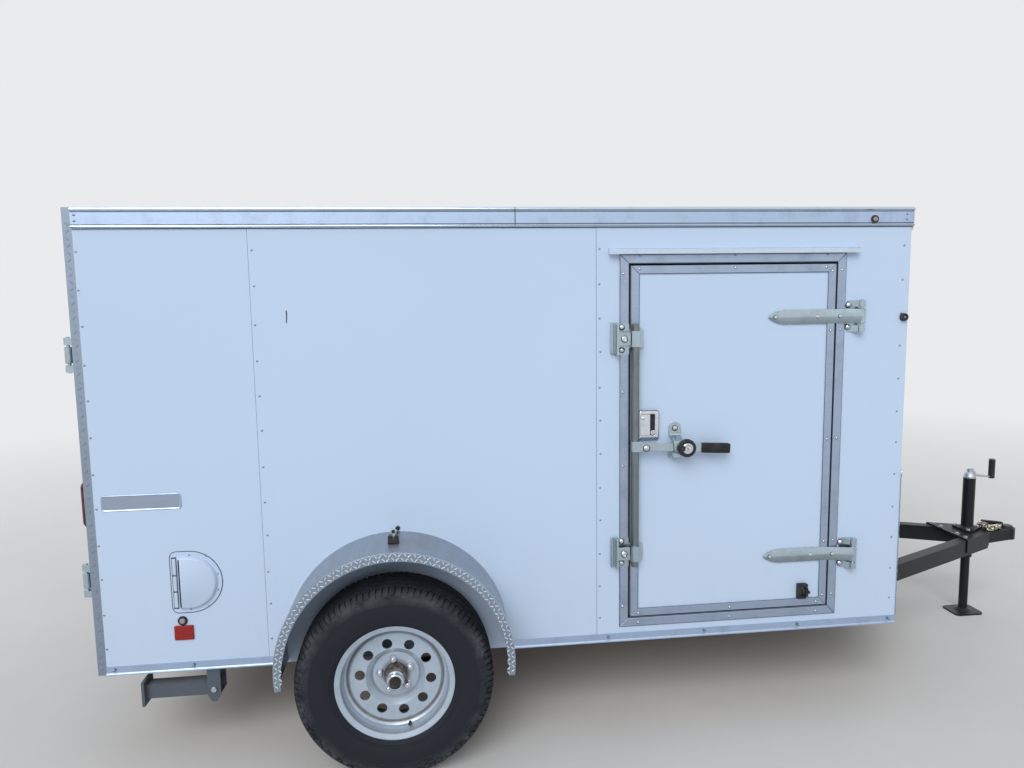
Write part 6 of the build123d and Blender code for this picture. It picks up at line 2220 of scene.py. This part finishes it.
@dataclass
class SideVents:
    """The D-shaped vents low at the rear of both sides: flange, raised hood, rear slots and rivets."""

    flange: float = 0.0018
    hood: float = 0.0165
    margin: float = 0.0145
    slot_wide: float = 0.0235
    corner: float = 0.020
    inner_corner: float = 0.006
    recess: Point = (0.572, 0.762)
    slots: tuple[Point, ...] = ((0.577, 0.632), (0.638, 0.692), (0.698, 0.757))
    rivets: tuple[Point, ...] = ((-1.748, 0.768), (-1.691, 0.761), (-1.6535, 0.694), (-1.6555, 0.635),
                                 (-1.753, 0.568), (-1.690, 0.577), (-1.801, 0.695), (-1.801, 0.635))

    def outline(self, way: int, margin: float, rear: float, corner: float) -> list[Point]:
        """The D's outline, its straight side to the rear.

        Args:
            way: 1 where the plane's first axis runs forward, else -1.
            margin: how far it is drawn in from the vent's box.
            rear: the place of its straight side along X.
            corner: the radius of its two corners.

        Returns:
            The outline's corners.
        """
        low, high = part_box("side_vents")
        half = (high.z - low.z) / 2 - margin
        middle = (high.z + low.z) / 2
        points = bend(half, evenly(-math.pi / 2, math.pi / 2, 0.14), (high.x - margin - half, middle))
        for centre, start in ((middle + half - corner, math.pi / 2), (middle - half + corner, math.pi)):
            points += bend(corner, evenly(start, start + math.pi / 2, 0.4), (rear + corner, centre))
        return [(way * forward, height) for forward, height in points]

    def build(self) -> None:
        """Makes both vents as one piece."""
        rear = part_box("side_vents")[0].x
        start = rear + self.slot_wide
        shape = Shape(Finishes.VENT)
        for side in Side:
            way = -side.value
            plane = on_side(side, 0.0, 0.0, wall_out())
            whole = self.outline(way, 0.0, rear, self.corner)
            # painted shadow: a dark ring round the flange's edge
            shape.use(Finishes.SHADE).prism(plane, inset(whole, -0.0028), -0.0005, 0.0008)
            shape.use(Finishes.VENT).prism(plane, whole, 0.0, self.flange, 0.0007)
            shape.stack(plane, self.outline(way, self.margin, start, self.inner_corner),
                        [(0.0, self.flange - 0.0004), (0.0016, 0.006), (0.0038, 0.0115), (0.0070, 0.0148),
                         (0.0115, self.hood)])
            # painted shade: a dark sheet behind the slots, showing as dark outlines round them
            shape.use(Finishes.SHADE).prism(
                plane, oblong(way * (rear + 0.0045), self.recess[0], way * (start - 0.0015), self.recess[1]),
                0.001, 0.0024)
            shape.use(Finishes.VENT)
            for bottom, top in self.slots:
                shape.prism(plane, oblong(way * (rear + 0.0065), bottom, way * (start - 0.0045), top),
                            0.001, 0.0034, 0.0008)
            # painted shade: a dark sheet across the hood's rear opening, where the inside is in shade
            shape.use(Finishes.GAP).face(shape.ring(plane, [
                (way * (start + 0.0002 + lean), height, level)
                for lean, height, level in ((0.0, 0.590, 0.003), (0.0, 0.747, 0.003), (0.0022, 0.742, 0.010),
                                            (0.0022, 0.595, 0.010))]))
            shape.use(Finishes.FIXING)
            for forward, height in self.rivets:
                rivet(shape, shifted(plane, way * forward, height, self.flange), 0.0034, 0.0015)
        shape.make("side_vent_hoods", "vent_enamel", Body.TRAILER, 30.0, ["side_vents"])


@dataclass
class Lamps:
    """The round markers, the square reflectors and the tail lamps.

    A marker is given forward, height, radius and how proud of the wall it sits.
    """

    markers: tuple[tuple[float, float, float, float], ...] = ((0.7931, 1.9328, 0.0136, 0.0072),
                                                             (-1.7849, 0.5268, 0.0156, 0.0))
    reflector: tuple[float, float, float, float] = (-1.8149, 0.456, -1.7489, 0.509)
    reflector_rib: Point = (0.029, 0.0018)
    tail_tall: float = 0.165
    tail_wide: float = 0.046
    tail_across: float = 0.732
    tail_height: float = 0.960

    def build(self) -> None:
        """Makes all the lamps as one piece."""
        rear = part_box("rear_frame")[0].x
        shape = Shape(Finishes.RUBBER)
        left, bottom, right, top = self.reflector
        for side in Side:
            for forward, height, radius, proud in self.markers:
                self.marker(shape, on_side(side, forward, height, wall_out() + proud), radius)
            plane = on_side(side, (left + right) / 2, (bottom + top) / 2, wall_out())
            shape.use(Finishes.RED).prism(plane, rounded(right - left, top - bottom, 0.004), 0.0, 0.0068, 0.0018)
            for rise in evenly(-0.019, 0.019, 0.0095):
                shape.prism(shifted(plane, 0.0, rise), upright_bar(*self.reflector_rib), 0.006, 0.0076, 0.0007)
            self.tail(shape, on_rear(side.value * self.tail_across, self.tail_height, rear))
        shape.make("lamps_and_reflectors", "lamp_lens", Body.TRAILER, 30.0, ["lamps"])

    def marker(self, shape: Shape, place: Matrix, radius: float) -> None:
        """Adds a round marker: its rubber ring and its ribbed clear lens.

        Args:
            shape: what it is added to.
            place: its seat on the wall.
            radius: its radius.
        """
        shape.use(Finishes.RUBBER).lathe(place, [
            (0.0, -0.0005), (radius + 0.0012, -0.0005), (radius + 0.0012, 0.0035), (radius - 0.001, 0.0062),
            (0.72 * radius, 0.0062), (0.66 * radius, 0.0045), (0.0, 0.0045)], 32)
        lens = 0.64 * radius
        shape.use(Finishes.CLEAR).lathe(place, [
            (lens, 0.004), (0.96 * lens, 0.0066), (0.80 * lens, 0.0080), (0.72 * lens, 0.0076),
            (0.62 * lens, 0.0088), (0.52 * lens, 0.0084), (0.40 * lens, 0.0094), (0.0, 0.0099)], 28)

    def tail(self, shape: Shape, place: Matrix) -> None:
        """Adds a tail lamp: its black gasket, and its red lens with ribs.

        Args:
            shape: what it is added to.
            place: its seat on the rear frame.
        """
        wide, tall = self.tail_wide, self.tail_tall
        shape.use(Finishes.RUBBER).prism(place, rounded(wide, tall, wide / 2 - 0.0005, 8), -0.0005, 0.010, 0.002)
        lens = rounded(wide - 0.012, tall - 0.012, wide / 2 - 0.0065, 8)
        shape.use(Finishes.RED).prism(place, lens, 0.009, 0.0165, 0.003)
        for rise in evenly(-tall / 2 + 0.026, tall / 2 - 0.026, 0.0075):
            shape.prism(shifted(place, 0.0, rise), upright_bar(wide / 2 - 0.0105, 0.0016), 0.0160, 0.0172, 0.0006)


@dataclass
class RearDoors:
    """The rear doors' mitred mouldings, rivets and meeting gasket."""

    face: float = 2.0849
    low: float = 0.461
    high: float = 1.874
    near: float = 0.006
    far: float = 0.696
    trim_wide: float = 0.030
    trim_proud: float = 0.0012
    rivet_pitch: float = 0.176
    gasket_wide: float = 0.011
    gasket_face: float = 2.066

    def build(self) -> None:
        """Makes the pieces of both doors."""
        for side, way in ((Side.RIGHT, 1), (Side.LEFT, -1)):
            body = Body[f"REAR_DOOR_{side.name}"]
            start, end = sorted((way * self.near, way * self.far))
            for name, grown, proud, finish in (("shadow", 0.0012, 0.0004, Finishes.SHADE),
                                               ("moulding", 0.0, self.trim_proud, Finishes.MOULDING)):
                MitredFrame(f"rear_door_{side.label}_{name}", body, on_rear(0.0, 0.0, -self.face),
                            (start, self.low, end, self.high), (self.trim_wide + grown,) * 4, proud, finish).build()
            self.rivets(side, way, body)
        strip = Shape(Finishes.GAP)
        strip.prism(on_rear(0.0, (self.low + self.high) / 2, -self.gasket_face),
                    rounded(self.gasket_wide, self.high - self.low, 0.002), 0.0, 0.016, 0.002)
        strip.make("rear_meeting_gasket", "black_rubber", Body.REAR_DOOR_RIGHT)

    def rivets(self, side: Side, way: int, body: Body) -> None:
        """Sets the rivets along a door's mouldings.

        Args:
            side: the door's side.
            way: 1 for the right door, -1 for the left.
            body: what the door moves with.
        """
        shape = Shape(Finishes.FIXING)
        half = self.trim_wide / 2
        spots = [(across, height) for across in (self.near + half, self.far - half)
                 for height in evenly(self.low + 0.06, self.high - 0.06, self.rivet_pitch)]
        spots += [(across, height) for across in evenly(self.near + 0.09, self.far - 0.09, self.rivet_pitch)
                  for height in (self.low + half, self.high - half)]
        for across, height in spots:
            rivet(shape, on_rear(-way * across, height, -self.face - self.trim_proud), 0.0040, 0.0018)
        shape.make(f"rear_door_{side.label}_rivets", "trim_aluminium", body)


@dataclass
class Tongue:
    """The tongue's small parts: the crank's grip, the jack's bolts, the coupler's bolts and the safety chains."""

    deck: float = 0.439
    flange: float = 0.451
    grip: Triple = (1.9811, 0.706, 0.100)
    grip_radius: float = 0.0152
    bolts: tuple[Point, ...] = ((1.830, 0.046), (1.830, -0.046), (1.917, 0.0))
    coupler_bolts: tuple[Point, ...] = ((1.760, 0.060), (1.760, 0.118))
    link_half: float = 0.0155
    link_wide: float = 0.0078
    wire: float = 0.0032
    link_tilts: Point = (-42.0, 38.0)
    heap: tuple[Point, ...] = ((1.944, 0.010), (1.952, 0.036), (1.968, 0.040), (1.984, 0.018), (2.000, 0.030),
                               (2.016, 0.026), (2.026, 0.012), (2.010, 0.008), (1.988, 0.012), (1.966, 0.016),
                               (1.952, 0.022))

    def build(self) -> None:
        """Makes the pieces."""
        self.crank_grip()
        self.fixings()
        for way, name in ((1, "left"), (-1, "right")):
            self.chain(way, name)

    def crank_grip(self) -> None:
        """Makes the black sleeve on the crank, with ribs round it."""
        shape = Shape(Finishes.BLACK_PLASTIC)
        forward, low, long = self.grip
        radius = self.grip_radius
        profile = [(radius - 0.002, 0.0), (radius, 0.002)]
        for level in evenly(0.010, long - 0.012, 0.011):
            profile += [(radius, level - 0.0022), (radius - 0.0011, level - 0.0014),
                        (radius - 0.0011, level + 0.0014), (radius, level + 0.0022)]
        profile += [(radius, long - 0.003), (radius - 0.003, long)]
        shape.knob(Matrix.Translation((forward, 0.0, low)), profile, 28)
        shape.make("crank_grip", "black_rubber", smooth=40.0)

    def fixings(self) -> None:
        """Sets the bolts of the jack's flange and of the coupler, with washers."""
        shape = Shape(Finishes.GALVANISED)
        seats = [(forward, across, self.flange) for forward, across in self.bolts]
        seats += [(forward, way * across, self.deck) for way in (-1, 1) for forward, across in self.coupler_bolts]
        for place in seats:
            seat = Matrix.Translation(place)
            shape.washer(seat, 0.0110, -0.0006, 0.0012, 0.0016, 20)
            bolt_head(shape, shifted(seat, 0.0, 0.0, 0.0012), 0.0165, 0.0068, 0.0012)
        shape.make("jack_and_coupler_bolts", "zinc_steel")

    def link(self, shape: Shape, place: Matrix) -> None:
        """Adds a chain link.

        Args:
            shape: what it is added to.
            place: its middle, the first axis along the link.
        """
        straight = self.link_half - self.link_wide
        path = []
        for end, start in ((1, -math.pi / 2), (-1, math.pi / 2)):
            path += bend(self.link_wide, [start + step * math.pi / 4 for step in range(5)], (end * straight, 0.0))
        shape.tube([place @ Vector((along, across, 0.0)) for along, across in path], self.wire, 7, looped=True)

    def chain(self, way: int, name: str) -> None:
        """Heaps a safety chain on the coupler, in front of the jack.

        Args:
            way: 1 for the left chain, -1 for the right.
            name: the side's name.
        """
        shape = Shape(Finishes.CHAIN)
        path = [Vector((forward, way * across, self.deck + 0.0085 + 0.0006 * index))
                for index, (forward, across) in enumerate(self.heap)]
        path += [Vector((forward + 0.006, way * (0.78 * across + 0.004), self.deck + 0.0170 + 0.0004 * index))
                 for index, (forward, across) in enumerate(reversed(self.heap))]
        count = 0
        for start, end in zip(path, path[1:]):
            gap = end - start
            heading = math.atan2(gap.y, gap.x)
            pieces = max(1, round(gap.length / (2 * self.link_half - 3 * self.wire)))
            for index in range(pieces):
                place = turned(Matrix.Translation(start + gap * ((index + 0.5) / pieces)), heading)
                self.link(shape, turned(place, math.radians(self.link_tilts[count % 2]), "X"))
                count += 1
        shape.make(f"safety_chain_{name}", "zinc_steel", smooth=40.0)


@dataclass
class Underside:
    """What is bolted under the floor: the axle's U-bolts and plates and the legs' pins."""

    axle: Point = (-1.0299, 0.242)
    axle_radius: float = 0.0302
    spring: float = 0.733
    spring_top: float = 0.3002
    plate_thick: float = 0.008
    bolt_radius: float = 0.0048
    bolt_end: float = 0.016
    bolt_spread: float = 0.0300
    hanger_bolts: tuple[Point, ...] = ((-1.3600, 0.338), (-0.6999, 0.338))
    hanger_face: float = 0.7568
    pin: Point = (-1.6929, 0.258)
    pin_face: float = 0.7575

    def build(self) -> None:
        """Makes the pieces on both sides."""
        for side in Side:
            self.clamps(side)
        self.pins()

    def clamps(self, side: Side) -> None:
        """Makes a spring's two U-bolts, its tie plate and the nuts.

        Args:
            side: the spring's side.
        """
        shape = Shape(Finishes.GALVANISED)
        forward = self.axle[0]
        reach = self.axle_radius + self.bolt_radius
        top = self.spring_top + self.plate_thick
        outline = [(forward - reach, top + self.bolt_end),
                   *bend(reach, [math.pi + step * math.pi / 12 for step in range(13)], self.axle),
                   (forward + reach, top + self.bolt_end)]
        for spread in (-self.bolt_spread, self.bolt_spread):
            across = side.value * (self.spring + spread)
            shape.tube([Vector((along, across, level)) for along, level in outline], self.bolt_radius, 10)
            for end in (-reach, reach):
                bolt_head(shape, Matrix.Translation((forward + end, across, top)), 0.0165, 0.0085, 0.0010)
        shape.make(f"u_bolts_{side.label}", "zinc_steel", smooth=40.0)
        plate = Shape(Finishes.BLACK)
        plate.prism(Matrix.Translation((forward, side.value * self.spring, self.spring_top)),
                    rounded(0.094, 0.080, 0.008), 0.0, self.plate_thick, 0.001)
        plate.make(f"tie_plate_{side.label}", "black_steel")

    def pins(self) -> None:
        """Sets the bolts through the spring hangers and the pins of the folding legs."""
        shape = Shape(Finishes.GALVANISED)
        for side in Side:
            for forward, level in self.hanger_bolts:
                bolt_head(shape, on_side(side, forward, level, self.hanger_face), 0.0190, 0.0080, 0.0012)
            bolt_head(shape, on_side(side, *self.pin, self.pin_face), 0.0190, 0.0078, 0.0012)
        shape.make("hanger_bolts_and_leg_pins", "zinc_steel")


@dataclass
class Inside:
    """The load space's roof bows and its dome lamp."""

    stations: tuple[float, ...] = (-1.90, -1.30, -0.70, -0.10, 0.50)
    half: float = 0.7225
    under: float = 1.9452
    deep: float = 0.028
    wide: float = 0.030
    flange: Point = (0.012, 0.0022)

    def build(self) -> None:
        """Makes the bows and the lamp."""
        shape = Shape(Finishes.ENAMEL)
        brim, thick = self.flange
        side = [(0.5 * self.wide + brim, 0.0), (0.5 * self.wide + brim, -thick), (0.5 * self.wide, -thick),
                (0.42 * self.wide, -self.deep)]
        outline = [(-across, up) for across, up in side] + side[::-1]
        for forward in self.stations:
            shape.prism(facing(Vector((forward, 0.0, self.under)), FORWARD, UPWARD), outline, -self.half, self.half)
        shape.make("roof_bows", "skin")
        lamp = Shape(Finishes.BLACK_PLASTIC)
        place = turned(Matrix.Translation((self.stations[3], 0.0, self.under - self.deep)), math.pi, "X")
        lamp.knob(place, [(0.060, 0.0), (0.060, 0.006), (0.054, 0.010)], 40)
        lamp.use(Finishes.CLEAR).lathe(place, [(0.053, 0.010), (0.050, 0.017), (0.038, 0.024), (0.018, 0.028),
                                               (0.0, 0.029)], 40)
        lamp.make("dome_lamp", "lamp_lens", smooth=40.0)


def coats() -> list[Coat]:
    """Which finish each node of the frame takes.

    Returns:
        The coats, in the order that they are applied.
    """
    kit = Finishes
    walls = tuple(f"wall_{side.label}_{part}" for side in Side for part in ("rear", "middle", "front"))
    listed = [
        Coat(kit.BLACK, ("frame_rails", "crossmembers", "tongue_rails", "coupler", "jack_tube", "jack_leg")),
        Coat(kit.LEG, ("stabiliser_brackets", "stabiliser_leg_right", "stabiliser_leg_left")),
        Coat(kit.GALVANISED, ("jack_crank",)),
        Coat(kit.AXLE, ("axle_beam",)),
        Coat(kit.SPRING, ("leaf_springs",)),
        Coat(kit.FLOOR, ("floor_deck",)),
        Coat(kit.WALL, walls + ("side_door",)),
        Coat(kit.NOSE, ("nose_wall_right", "nose_wall_left")),
        Coat(kit.ENAMEL, ("rear_door_right", "rear_door_left")),
        Coat(kit.ROOF, ("roof",)),
        Coat(kit.TRIM, ("edge_trim",)),
        # painted shade: the frame is dark so that its edges beside the inset mouldings show as shadow outlines
        Coat(kit.SHADE, ("side_door_frame",)),
        Coat(kit.TREAD, ("stone_guard", "rear_frame")),
        Coat(kit.ZINC, ("side_door_hardware", "door_brackets", "rear_hardware_right", "rear_hardware_left")),
        Coat(kit.BLACK_PLASTIC, ("padlock", "door_holdback")),
        Coat(kit.FENDER, ("fender_right", "fender_left")),
        Coat(kit.HUB, ("hub_right", "hub_left")),
        Coat(kit.VENT, ("side_vents",)),
        Coat(kit.RED, ("lamps",)),
    ]
    for side in Side:
        paint = WheelPaint(f"wheel_paint_{side.label}", (0.50, 0.60, 0.72), centre=wheel_centre(side))
        listed += [Coat(tyre_rubber(side), (f"tyre_{side.label}",)), Coat(paint, (f"rim_{side.label}",))]
    return listed


def assemblies() -> list[object]:
    """The trailer's assemblies.

    Returns:
        The assemblies, in the order that they are built.
    """
    listed = []
    for side in Side:
        listed += [Wheel(side), Fender(side), Skin(side)]
    return listed + [TreadPlate(), NoseTrim(), RoofEdge(), DripCap(), SideDoor(), *door_gears(), SideVents(),
                     Lamps(), Holdback(), RearDoors(), Tongue(), Underside(), Inside()]


def main() -> None:
    """Builds the studio and dresses the trailer, one assembly after another."""
    logging.basicConfig(level=logging.INFO, format="%(message)s", stream=sys.stdout)
    bpy.context.scene.view_settings.view_transform = "Standard"
    Studio().build()
    for coat in coats():
        coat.apply()
    for assembly in assemblies():
        assembly.build()


if __name__ == "__main__":
    main()
